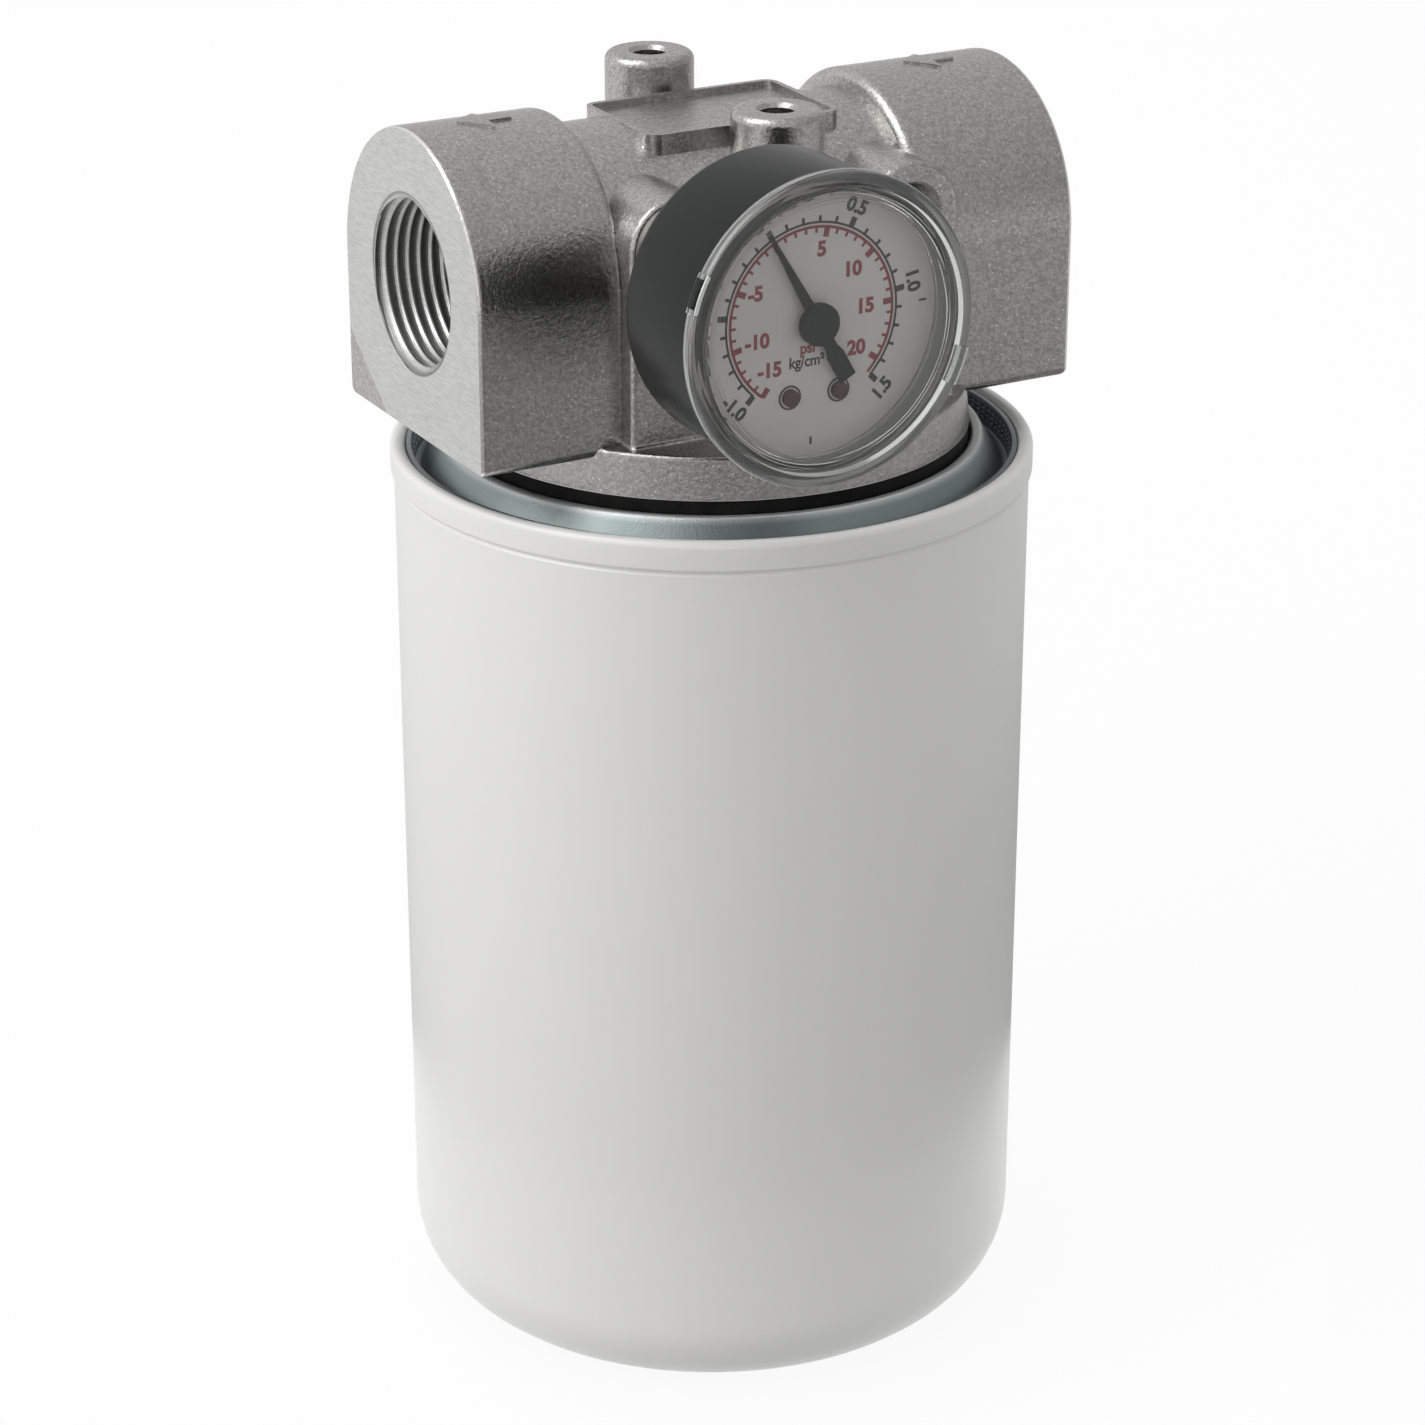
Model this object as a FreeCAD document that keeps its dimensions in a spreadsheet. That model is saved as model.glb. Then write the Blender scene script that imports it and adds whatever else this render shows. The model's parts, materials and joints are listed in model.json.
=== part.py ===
import FreeCAD, Part
import math
import os
import Sketcher

# Spin-on suction filter: a die-cast head with two G 3/4 ports and a vacuum gauge,
# and a sheet-steel can that screws onto the head's nipple.
# Millimetres, Z up, origin at the middle of the can's base.
# The head's ports lie along X, the gauge looks along -Y.

doc = FreeCAD.newDocument("SuctionFilter")
sheet = doc.addObject("Spreadsheet::Sheet", "Sizes")
subParts = []


# Sizes that carry their own sheet formula
class Size:
    def __init__(self, value, text):
        self.value = value
        self.text = text

    def __add__(self, other):
        return Size(self.value + number(other), "(%s + %s)" % (self.text, words(other)))

    def __sub__(self, other):
        return Size(self.value - number(other), "(%s - %s)" % (self.text, words(other)))

    def __mul__(self, other):
        return Size(self.value * number(other), "(%s * %s)" % (self.text, words(other)))

    def __truediv__(self, other):
        return Size(self.value / number(other), "(%s / %s)" % (self.text, words(other)))

    def __neg__(self):
        return Size(-self.value, "(0 - %s)" % self.text)


def number(item):
    return item.value if isinstance(item, Size) else float(item)


def words(item):
    return item.text if isinstance(item, Size) else "(%.9g)" % item


def cosine(angle):
    return Size(math.cos(math.radians(number(angle))), "cos(%s * 1 deg)" % words(angle))


def sine(angle):
    return Size(math.sin(math.radians(number(angle))), "sin(%s * 1 deg)" % words(angle))


def size(alias, value, note):
    row = size.rows = size.rows + 1
    sheet.set("A%d" % row, note)
    sheet.set("B%d" % row, str(value))
    sheet.setAlias("B%d" % row, alias)
    return Size(float(value), "Sizes." + alias)


size.rows = 0
zero = Size(0.0, "0")
unit = Size(1.0, "1")
fullTurn = 360
closeness = 0.01    # levels nearer than this are taken as the same
overcut = 1.5       # a pocket's depth as a multiple of what it cuts through

# Can and seam
canHeight = size("canHeight", 140.5, "seam top above the base")
canRadius = size("canRadius", 47.5, "can wall outside")
canWall = size("canWall", 0.8, "can sheet")
baseRound = size("baseRound", 13.4, "corner round of the base")
beadInner = size("beadInner", 19.0, "stiffening bead of the base, inner edge")
beadOuter = size("beadOuter", 28.0, "stiffening bead, outer edge")
beadRise = size("beadRise", 1.2, "its rise above the floor")
beadSlope = size("beadSlope", 2.4, "width of its sides")
seamStep = size("seamStep", 0.5, "seam proud of the wall")
seamHeight = size("seamHeight", 4.4, "rolled seam height")
seamThickness = size("seamThickness", 2.3, "rolled seam, radially")
seamRound = size("seamRound", 1.1, "round of the seam's top")
seamRadius = canRadius + seamStep
seamInner = seamRadius - seamThickness
canInner = canRadius - canWall

# Gasket and its retainer
gasketInset = size("gasketInset", 9.2, "gasket inside the can")
gasketWidth = size("gasketWidth", 4.4, "gasket, radially")
gasketHeight = size("gasketHeight", 4.6, "gasket height, pressed")
gasketStand = size("gasketStand", 2.7, "head face above the seam")
gasketRound = size("gasketRound", 0.6, "gasket corner round")
gasketPlay = size("gasketPlay", 0.3, "play of the gasket in its groove")
lipWidth = size("lipWidth", 1.6, "folded lip of the retainer")
outerLipHeight = size("outerLipHeight", 2.8, "outer lip above the groove")
innerLipHeight = size("innerLipHeight", 2.6, "inner lip above the groove")
sheetMetal = size("sheetMetal", 0.8, "retainer and cap sheet")
rimHeight = size("rimHeight", 1.3, "retainer rim against the seam")
rimSlope = size("rimSlope", 0.4, "slope inside the rim")
footWidth = size("footWidth", 4.4, "foot of the retainer inside the gasket")
channelDepth = size("channelDepth", 2.6, "channel outside the gasket, under the groove")
channelWidth = size("channelWidth", 0.95, "floor of that channel")
coneSheet = size("coneSheet", 1.0, "sloping wall of the channel, measured across")
pressFit = size("pressFit", 0.05, "gap between pieces that are pressed together")
runningFit = size("runningFit", 0.07, "radial gap of a shaft or thread")
drivenFit = size("drivenFit", 0.02, "radial gap of a hub driven onto its shaft")
gasketOuter = canRadius - gasketInset
gasketInner = gasketOuter - gasketWidth
retainerFoot = gasketInner - footWidth
headFace = canHeight + gasketStand
grooveFloor = headFace - gasketHeight
plateTop = grooveFloor - sheetMetal

# Tapping plate and nipple
plateInset = size("plateInset", 6.5, "tapping plate inside the can")
plateThick = size("plateThick", 4.0, "tapping plate")
collarRadius = size("collarRadius", 17.0, "threaded collar outside")
collarLength = size("collarLength", 8.8, "threaded collar")
inletHoleRadius = size("inletHoleRadius", 4.0, "inlet holes")
inletHoleCircle = size("inletHoleCircle", 24.5, "their circle")
inletHoleCount = 8
nippleRadius = size("nippleRadius", 13.15, "nipple thread, G 3/4")
nippleBore = size("nippleBore", 10.0, "nipple bore")
threadPitch = size("threadPitch", 1.814, "pitch of G 3/4")
releaseTurns = size("releaseTurns", 6.0, "turns that free the can")
nippleGrip = size("nippleGrip", 13.8, "nipple inside the head")
plateRadius = canRadius - plateInset
plateBottom = plateTop - plateThick
collarBottom = plateTop - collarLength
nippleBottom = plateTop - threadPitch * releaseTurns
nippleTop = headFace + nippleGrip
threadBore = nippleRadius + runningFit

# Filter element
capGap = size("capGap", 5.2, "end cap inside the can wall")
capSkirt = size("capSkirt", 5.0, "end cap skirt")
capHole = size("capHole", 16.5, "hole of the top end cap")
elementDrop = size("elementDrop", 3.0, "top end cap under the collar")
elementLift = size("elementLift", 22.0, "bottom end cap above the base")
tubeRadius = size("tubeRadius", 17.5, "centre tube")
tubeHoleRadius = size("tubeHoleRadius", 3.0, "centre tube holes")
tubeHoleRows = 4
tubeHoleAcross = 3
mediaInner = size("mediaInner", 18.3, "inner folds of the pleats")
mediaGap = size("mediaGap", 1.6, "outer folds of the pleats inside the end cap")
mediaThick = size("mediaThick", 0.9, "filter paper")
foldOutside = size("foldOutside", 1.44, "paper at an outer fold, radially")
foldInside = size("foldInside", 0.54, "paper inside an inner fold, radially")
pleatCount = 40
grommetWidth = size("grommetWidth", 3.6, "rubber seal, radially")
grommetHeight = size("grommetHeight", 6.5, "rubber seal")
coilRadius = size("coilRadius", 14.0, "support spring, middle of the wire")
coilWire = size("coilWire", 1.2, "support spring wire radius")
coilTurns = size("coilTurns", 3.0, "support spring turns")
capRadius = canInner - capGap
mediaOuter = capRadius - mediaGap
elementTop = collarBottom - elementDrop

# Head casting
portAxis = size("portAxis", 170.4, "port axis above the base")
headHalf = size("headHalf", 48.5, "port face from the middle")
bossRadius = size("bossRadius", 22.2, "port boss arch")
bossBottom = size("bossBottom", 147.9, "underside of the port bosses")
bossCorner = size("bossCorner", 1.4, "lower corners of the port bosses")
leftInner = size("leftInner", 25.5, "left boss, inner end")
rightInner = size("rightInner", 22.5, "right boss, inner end")
coreRadius = size("coreRadius", 19.6, "arch between the bosses")
coreOverlap = size("coreOverlap", 2.6, "arch inside each boss")
flangeOver = size("flangeOver", 0.1, "flange beyond the gasket")
flangeDraft = size("flangeDraft", 0.6, "flange taper")
flangeThick = size("flangeThick", 6.3, "flange")
flangeRound = size("flangeRound", 0.7, "upper edge of the flange")
edgeRound = size("edgeRound", 1.3, "cast edge of the port bosses")
faceCut = size("faceCut", 0.5, "milled off each port face")
footRound = size("footRound", 0.8, "root of the body on the flange")
innerRound = size("innerRound", 1.6, "inner edge of the port bosses")
flangeRadius = gasketOuter + flangeOver
ledge = headFace + flangeThick

mountTop = size("mountTop", 194.2, "top of the mounting bosses")
mountReach = size("mountReach", 19.3, "mounting bosses from the middle")
mountRadius = size("mountRadius", 6.66, "mounting bosses")
mountRound = size("mountRound", 1.3, "their upper edge")
mountBore = size("mountBore", 2.5, "M6 core")
mountDepth = size("mountDepth", 12.0, "M6 depth")
mountChamfer = size("mountChamfer", 0.6, "M6 mouth")
trayLength = size("trayLength", 15.8, "cast tray, half length")
trayWidth = size("trayWidth", 10.5, "cast tray, half width")
trayTop = size("trayTop", 190.0, "tray rim")
trayDepth = size("trayDepth", 0.9, "tray floor under its rim")
trayRim = size("trayRim", 0.9, "tray rim width")
trayCorner = size("trayCorner", 2.2, "tray corners")

gaugeReach = size("gaugeReach", 18.9, "gauge ports from the middle")
gaugeAxis = size("gaugeAxis", 177.7, "gauge ports above the base")
columnRadius = size("columnRadius", 7.7, "gauge port columns")
columnFace = size("columnFace", 25.5, "their front face")
columnRound = size("columnRound", 0.9, "their front edge")
gaugeBore = size("gaugeBore", 4.28, "G 1/8 core")
gaugeBoreDepth = size("gaugeBoreDepth", 10.0, "G 1/8 depth")
gaugeBoreChamfer = size("gaugeBoreChamfer", 0.6, "G 1/8 mouth")
drillRadius = size("drillRadius", 1.5, "drilling behind a gauge port")
drillEnd = size("drillEnd", 6.0, "end of the drilling from the middle")
arrowHalf = size("arrowHalf", 4.0, "flow arrow, half width")
arrowShaft = size("arrowShaft", 1.5, "its shaft, half width")
arrowHead = size("arrowHead", 4.2, "its head")
arrowTail = size("arrowTail", 3.6, "its shaft length")
arrowRise = size("arrowRise", 0.35, "its height")
arrowTrim = size("arrowTrim", 14.0, "half angle over which its top follows the boss")
arrowRoot = size("arrowRoot", 1.8, "its foot inside the boss")
arrowPlace = size("arrowPlace", 36.5, "middle of a flow arrow")

# Ports and the space inside the head
portBore = size("portBore", 12.06, "G 3/4 core")
portDepth = size("portDepth", 17.0, "G 3/4 depth")
portMouth = size("portMouth", 13.4, "mouth of a port")
mouthOver = size("mouthOver", 1.0, "port cut beyond the face")
passageRadius = size("passageRadius", 10.0, "passage behind a port")
annulusInset = size("annulusInset", 2.9, "inlet ring under the flange, inside the gasket")
annulusDepth = size("annulusDepth", 3.5, "its depth")
annulusDraft = size("annulusDraft", 0.7, "draft of its walls")
nippleBoss = size("nippleBoss", 17.5, "boss round the nipple")
bossRecess = size("bossRecess", 0.8, "that boss above the gasket face")
chamberRadius = size("chamberRadius", 11.5, "outlet chamber")
seatLift = size("seatLift", 21.0, "underside of the valve seat above the nipple")
seatThick = size("seatThick", 3.0, "valve seat")
seatBore = size("seatBore", 6.5, "valve seat bore")
crownRadius = size("crownRadius", 8.0, "space above the seat")
crownHeight = size("crownHeight", 5.0, "space above the seat")
crownSlot = size("crownSlot", 6.0, "half width of the way to it")
wellInner = size("wellInner", 17.0, "inlet well, inner side")
wellOuter = size("wellOuter", 27.0, "inlet well, outer side")
wellHalf = size("wellHalf", 9.0, "inlet well, half width")
wellCorner = size("wellCorner", 2.0, "inlet well corners")
annulusOuter = gasketInner - annulusInset
seatHeight = nippleTop + seatLift

# Bypass valve
spiderThick = size("spiderThick", 2.0, "bypass cage")
spiderHub = size("spiderHub", 7.2, "spring seat of the cage")
spiderRim = size("spiderRim", 1.6, "rim of the cage, radially")
spiderWindow = size("spiderWindow", 88.0, "window angle of the cage")
spiderArms = 3
poppetRadius = size("poppetRadius", 8.2, "poppet")
poppetThick = size("poppetThick", 2.8, "poppet plate")
poppetNose = size("poppetNose", 1.2, "nose in the seat")
poppetStem = size("poppetStem", 2.0, "stem radius")
poppetTail = size("poppetTail", 4.0, "stem below the cage")
poppetGuide = size("poppetGuide", 4.0, "guide of the spring on the poppet")
guideTaper = size("guideTaper", 0.2, "taper of that guide")
seatPlay = size("seatPlay", 0.3, "nose in the seat, radially")
valveCoil = size("valveCoil", 5.0, "bypass spring, middle of the wire")
valveWire = size("valveWire", 0.5, "bypass spring wire radius")
valveTurns = size("valveTurns", 6.0, "bypass spring turns")
springPlay = size("springPlay", 0.15, "gap at the spring's ends")
spiderTop = nippleTop + spiderThick
poppetBottom = seatHeight - poppetThick

# Vacuum gauge, measured from the head's middle plane towards the viewer
washerThick = size("washerThick", 1.5, "sealing washer")
washerRadius = size("washerRadius", 7.0, "sealing washer")
stemThread = size("stemThread", 9.5, "gauge thread length")
shankRadius = size("shankRadius", 6.2, "round shank of the gauge")
hexFlats = size("hexFlats", 14.0, "hexagon across flats")
hexSides = 6
hexLength = size("hexLength", 8.0, "hexagon")
caseBack = size("caseBack", 47.1, "back of the gauge case")
caseRadius = size("caseRadius", 20.5, "gauge case")
caseWall = size("caseWall", 0.7, "gauge case sheet")
caseDepth = size("caseDepth", 19.0, "gauge case")
caseRound = size("caseRound", 2.0, "back edge of the case")
neckRadius = size("neckRadius", 5.0, "neck through the case")
bezelStep = size("bezelStep", 1.0, "ring of the lens beyond the case")
lensFront = size("lensFront", 68.3, "front of the lens ring")
lensWall = size("lensWall", 1.35, "wall of the lens inside the case")
lensGap = size("lensGap", 0.3, "that wall above the dial")
windowInset = size("windowInset", 2.9, "flat window inside the case")
lensThick = size("lensThick", 1.2, "window")
lensSink = size("lensSink", 0.4, "window behind the ring")
lensRing = size("lensRing", 1.9, "front ring of the lens, radially")
lensFall = size("lensFall", 0.4, "slope inside that ring")
dialInset = size("dialInset", 1.9, "dial inside the case")
dialThick = size("dialThick", 0.6, "dial")
dialFront = size("dialFront", 62.5, "dial face")
dialHole = size("dialHole", 1.6, "dial centre hole")
screwReach = size("screwReach", 3.75, "dial screws, sideways")
screwDrop = size("screwDrop", 9.95, "dial screws under the centre")
screwHead = size("screwHead", 1.2, "screw head radius")
screwRise = size("screwRise", 0.6, "screw head height")
screwShank = size("screwShank", 0.7, "screw radius")
screwLength = size("screwLength", 2.4, "screw behind the dial")
blockHalf = size("blockHalf", 6.0, "socket block, half width")
blockTop = size("blockTop", 4.6, "socket block above the axis")
footInset = size("footInset", 3.3, "foot of the block inside the case")
blockSide = size("blockSide", 10.6, "straight side of the block below the axis")
blockShoulder = size("blockShoulder", 2.4, "block inside the middle of the tube")
blockHeight = size("blockHeight", 6.1, "socket block")
pathInset = size("pathInset", 3.0, "Bourdon tube bend inside the case")
tubeThin = size("tubeThin", 0.8, "Bourdon tube, half thickness")
tubeBroad = size("tubeBroad", 2.5, "Bourdon tube, half width")
tubeStart = size("tubeStart", -70.0, "angle where the tube leaves the block")
tubeSweep = size("tubeSweep", 235.0, "angle of the tube")
tubeStation = size("tubeStation", 55.3, "middle of the tube's width")
tipAngle = size("tipAngle", 8.0, "tip piece past the tube")
tipReach = size("tipReach", 1.8, "tip piece towards the middle")
tipHalf = size("tipHalf", 2.0, "tip piece behind the middle of the tube")
plateSheet = size("plateSheet", 0.8, "movement plates")
plateSpace = size("plateSpace", 4.4, "space between the plates")
pillarRadius = size("pillarRadius", 1.7, "pillars and posts")
pillarFoot = size("pillarFoot", 2.0, "pillar screw in the block")
plateMargin = size("plateMargin", 2.4, "movement plates round their holes")
toothModule = size("toothModule", 0.4, "gear module")
pinionTeeth = 8
gearRatio = 6
rootDepth = size("rootDepth", 1.25, "tooth below the pitch circle, in modules")
tipHeight = size("tipHeight", 0.8, "tooth above the pitch circle, in modules")
rootShare = size("rootShare", 0.30, "half a tooth at its root, in tooth steps")
pitchShare = size("pitchShare", 0.215, "half a tooth on the pitch circle")
tipShare = size("tipShare", 0.10, "half a tooth at its tip")
sectorBearing = size("sectorBearing", 145.0, "angle of the sector's pivot")
sectorLow = size("sectorLow", -3.0, "first tooth of the sector")
sectorHigh = size("sectorHigh", 4.0, "last tooth of the sector")
sectorThick = size("sectorThick", 1.0, "sector plate")
sectorStation = size("sectorStation", 55.9, "back of the sector plate")
tailLength = size("tailLength", 4.5, "sector tail")
tailAngle = size("tailAngle", 235.0, "direction of the tail")
sectorHub = size("sectorHub", 1.6, "hub of the sector")
arborRadius = size("arborRadius", 0.6, "sector arbor")
shaftRadius = size("shaftRadius", 0.75, "pinion shaft")
linkSheet = size("linkSheet", 0.7, "connecting link")
linkHalf = size("linkHalf", 1.2, "connecting link, half width")
linkGap = size("linkGap", 0.3, "link above what it joins")
linkPin = size("linkPin", 0.5, "link pin radius")
linkInset = size("linkInset", 3.1, "far end of the link inside the tube bend")
pointerZero = size("pointerZero", 119.5, "angle of the pointer at rest")
pointerLength = size("pointerLength", 14.8, "pointer, tip")
pointerTail = size("pointerTail", 9.4, "pointer, tail")
pointerHub = size("pointerHub", 2.9, "pointer hub")
pointerBroad = size("pointerBroad", 1.26, "half width of its tail")
pointerNeck = size("pointerNeck", 0.9, "half width at its hub")
pointerSlim = size("pointerSlim", 0.22, "half width of its tip")
tailStart = size("tailStart", 5.3, "where the broad tail starts")
neckEnd = size("neckEnd", 4.2, "where the neck ends")
hubThick = size("hubThick", 0.84, "pointer hub thickness")
pointerSheet = size("pointerSheet", 0.35, "pointer sheet")
pointerStand = size("pointerStand", 0.8, "pointer above the dial")
bezelRadius = caseRadius + bezelStep
lensWindow = caseRadius - windowInset
dialRadius = caseRadius - dialInset
blockFoot = caseRadius - footInset
pathRadius = caseRadius - pathInset
linkReach = pathRadius - linkInset
caseFloor = caseBack + caseWall
blockFace = caseFloor + blockHeight
backPlate = blockFace
frontPlate = backPlate + plateSheet + plateSpace
dialBack = dialFront - dialThick
sectorPitch = toothModule * pinionTeeth * gearRatio / 2
pinionPitch = toothModule * pinionTeeth / 2
pivotX = (sectorPitch + pinionPitch) * cosine(sectorBearing)
pivotY = (sectorPitch + pinionPitch) * sine(sectorBearing)


# Bodies, sketches and features
def newBody(label):
    body = doc.addObject("PartDesign::Body", label)
    body.Label = label
    subParts.append(body)
    return body


def bind(thing, name, item):
    thing.setExpression(name, words(item))


def newSketch(body, name, plane, offset=None):
    sketch = body.newObject("Sketcher::SketchObject", name)
    support = [item for item in body.Origin.OriginFeatures if item.Role == plane][0]
    sketch.AttachmentSupport = [(support, "")]
    sketch.MapMode = "FlatFace"
    if offset is not None:
        bind(sketch, ".AttachmentOffset.Base.z", offset)
    return sketch


def fixPoint(sketch, geometry, corner, x, y, axes="XY"):
    for axis, item in (("X", x), ("Y", y)):
        if axis in axes:
            rule = Sketcher.Constraint("Distance" + axis, -1, 1, geometry, corner, number(item))
            index = sketch.addConstraint(rule)
            sketch.setExpression("Constraints[%d]" % index, words(item))


# A closed outline: (x, y) is a corner reached by a line, and (x, y, centreX, centreY, turn)
# one reached by an arc, turn being 1 anticlockwise and -1 clockwise.
# The stretch that closes the outline is straight.
def outline(sketch, corners):
    first = sketch.GeometryCount
    pieces = []
    ends = []
    for index, corner in enumerate(corners):
        following = corners[(index + 1) % len(corners)]
        start = FreeCAD.Vector(number(corner[0]), number(corner[1]), 0)
        finish = FreeCAD.Vector(number(following[0]), number(following[1]), 0)
        if len(following) == 2 or index == len(corners) - 1:
            pieces.append(Part.LineSegment(start, finish))
            ends.append((1, 2))
            continue
        middle = FreeCAD.Vector(number(following[2]), number(following[3]), 0)
        ring = Part.Circle(middle, FreeCAD.Vector(0, 0, 1), (start - middle).Length)
        startAngle = math.atan2(start.y - middle.y, start.x - middle.x)
        finishAngle = math.atan2(finish.y - middle.y, finish.x - middle.x)
        if following[4] > 0:
            pieces.append(Part.ArcOfCircle(ring, startAngle, finishAngle))
            ends.append((1, 2))
        else:
            pieces.append(Part.ArcOfCircle(ring, finishAngle, startAngle))
            ends.append((2, 1))
    sketch.addGeometry(pieces, False)
    count = len(corners)
    for index in range(count):
        after = (index + 1) % count
        here = (first + index, ends[index][1])
        there = (first + after, ends[after][0])
        joint = Sketcher.Constraint("Coincident", *here, *there)
        sketch.addConstraint(joint)
    for index, corner in enumerate(corners):
        where = first + index
        if len(corner) == 2 or index == 0:
            fixPoint(sketch, where, ends[index][0], corner[0], corner[1])
            continue
        fixPoint(sketch, where - 1, 3, corner[2], corner[3])
        acrossX = abs(number(corner[0]) - number(corner[2]))
        acrossY = abs(number(corner[1]) - number(corner[3]))
        axes = "Y" if acrossX >= acrossY else "X"
        fixPoint(sketch, where, ends[index][0], corner[0], corner[1], axes)
    return sketch


def circle(sketch, x, y, radius):
    middle = FreeCAD.Vector(number(x), number(y), 0)
    index = sketch.addGeometry(Part.Circle(middle, FreeCAD.Vector(0, 0, 1), number(radius)), False)
    fixPoint(sketch, index, 3, x, y)
    rule = sketch.addConstraint(Sketcher.Constraint("Radius", index, number(radius)))
    sketch.setExpression("Constraints[%d]" % rule, words(radius))
    return sketch


# A box with round corners, seen along the sketch's normal
def roundedBox(sketch, low, high, corner):
    left, bottom = low
    right, top = high
    return outline(sketch, [
        (left, bottom + corner),
        (left + corner, bottom, left + corner, bottom + corner, 1),
        (right - corner, bottom),
        (right, bottom + corner, right - corner, bottom + corner, 1),
        (right, top - corner),
        (right - corner, top, right - corner, top - corner, 1),
        (left + corner, top),
        (left, top - corner, left + corner, top - corner, 1),
    ])


# An arch: a half round on straight sides
def arch(sketch, middle, radius, bottom, spring):
    return outline(sketch, [
        (middle - radius, bottom),
        (middle + radius, bottom),
        (middle + radius, spring),
        (middle - radius, spring, middle, spring, 1),
    ])


def revolve(body, name, corners, kind="PartDesign::Revolution"):
    sketch = newSketch(body, name + "Profile", "XZ_Plane")
    outline(sketch, corners)
    feature = body.newObject(kind, name)
    feature.Profile = sketch
    feature.ReferenceAxis = (sketch, ["V_Axis"])
    feature.Angle = fullTurn
    return feature


# A cut turned about a line along X at the height of axis
def turnAlongX(body, name, axis, corners):
    sketch = newSketch(body, name + "Profile", "XZ_Plane")
    reach = FreeCAD.Vector(1, number(axis), 0)
    line = sketch.addGeometry(Part.LineSegment(FreeCAD.Vector(0, number(axis), 0), reach), True)
    fixPoint(sketch, line, 1, zero, axis)
    fixPoint(sketch, line, 2, unit, axis)
    outline(sketch, corners)
    feature = body.newObject("PartDesign::Groove", name)
    feature.Profile = sketch
    feature.ReferenceAxis = (sketch, ["Axis0"])
    feature.Angle = fullTurn
    return feature


def pad(body, name, sketch, length, reverse=False):
    feature = body.newObject("PartDesign::Pad", name)
    feature.Profile = sketch
    feature.Reversed = reverse
    bind(feature, "Length", length)
    return feature


# A pocket goes against the sketch's normal, or along it where reverse is set
def pocket(body, name, sketch, depth, reverse=False):
    feature = body.newObject("PartDesign::Pocket", name)
    feature.Profile = sketch
    feature.Reversed = reverse
    bind(feature, "Length", depth)
    return feature


def polar(body, name, feature, count):
    pattern = body.newObject("PartDesign::PolarPattern", name)
    pattern.Originals = [feature]
    axis = [item for item in body.Origin.OriginFeatures if item.Role == "Z_Axis"][0]
    pattern.Axis = (axis, [""])
    pattern.Angle = fullTurn
    pattern.Occurrences = count
    body.Tip = pattern
    return pattern


def edgesOf(feature, test):
    doc.recompute()
    names = []
    for index, edge in enumerate(feature.Shape.Edges):
        if test(edge):
            names.append("Edge%d" % (index + 1))
    return names


def fillet(body, name, base, test, radius, kind="PartDesign::Fillet"):
    names = edgesOf(base, test)
    feature = body.newObject(kind, name)
    feature.Base = (base, names)
    bind(feature, "Radius" if kind.endswith("Fillet") else "Size", radius)
    return feature


def near(value, item):
    return abs(value - number(item)) < closeness


# Pieces of the gauge are drawn with their Z towards the viewer and turned onto the gauge axis
def onGauge(body):
    body.Placement = FreeCAD.Placement(
        FreeCAD.Vector(-number(gaugeReach), 0, number(gaugeAxis)),
        FreeCAD.Rotation(FreeCAD.Vector(1, 0, 0), 90),
    )
    bind(body, ".Placement.Base.x", -gaugeReach)
    bind(body, ".Placement.Base.z", gaugeAxis)
    return body


def plainShape(label, shape):
    feature = doc.addObject("Part::Feature", label)
    feature.Label = label
    feature.Shape = shape
    subParts.append(feature)
    return feature


# Can shell: a drawn cup whose mouth is rolled into the seam
def makeCanShell():
    body = newBody("can_shell")
    wallTop = canHeight - seamHeight
    cornerX = canRadius - baseRound
    revolve(body, "CanWall", [
        (zero, zero),
        (beadInner, zero),
        (beadInner + beadSlope, beadRise),
        (beadOuter - beadSlope, beadRise),
        (beadOuter, zero),
        (cornerX, zero),
        (canRadius, baseRound, cornerX, baseRound, 1),
        (canRadius, wallTop - seamStep),
        (seamRadius, wallTop),
        (seamRadius, canHeight - seamRound),
        (seamRadius - seamRound, canHeight, seamRadius - seamRound, canHeight - seamRound, 1),
        (seamInner + seamRound, canHeight),
        (seamInner, canHeight - seamRound, seamInner + seamRound, canHeight - seamRound, 1),
        (seamInner, wallTop + canWall),
        (canInner, wallTop - canWall),
        (canInner, baseRound),
        (cornerX, canWall, cornerX, baseRound, -1),
        (beadOuter, canWall),
        (beadOuter - beadSlope, beadRise + canWall),
        (beadInner + beadSlope, beadRise + canWall),
        (beadInner, canWall),
        (zero, canWall),
    ])


# Gasket retainer: a pressed ring with a lip on each side of the gasket and a channel outside it
def makeRetainer():
    body = newBody("gasket_retainer")
    rim = seamInner - pressFit
    lipRound = lipWidth / 2
    outerLip = gasketOuter + gasketPlay
    innerLip = gasketInner - gasketPlay
    outerTop = grooveFloor + outerLipHeight - lipRound
    innerTop = grooveFloor + innerLipHeight - lipRound
    channelFloor = grooveFloor - channelDepth
    channelOuter = rim - sheetMetal - rimSlope
    channelInner = channelOuter - channelWidth
    slope = (channelInner - outerLip - lipWidth) / (outerTop - channelFloor)
    revolve(body, "RetainerSection", [
        (retainerFoot, plateTop),
        (channelInner - coneSheet - slope * (plateTop - channelFloor), plateTop),
        (channelInner - coneSheet + slope * sheetMetal, channelFloor - sheetMetal),
        (rim, channelFloor - sheetMetal),
        (rim, grooveFloor + rimHeight),
        (rim - sheetMetal, grooveFloor + rimHeight),
        (channelOuter, channelFloor),
        (channelInner, channelFloor),
        (outerLip + lipWidth, outerTop),
        (outerLip, outerTop, outerLip + lipRound, outerTop, 1),
        (outerLip, grooveFloor),
        (innerLip, grooveFloor),
        (innerLip, innerTop),
        (innerLip - lipWidth, innerTop, innerLip - lipRound, innerTop, 1),
        (innerLip - lipWidth, grooveFloor),
        (retainerFoot, grooveFloor),
    ])


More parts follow.
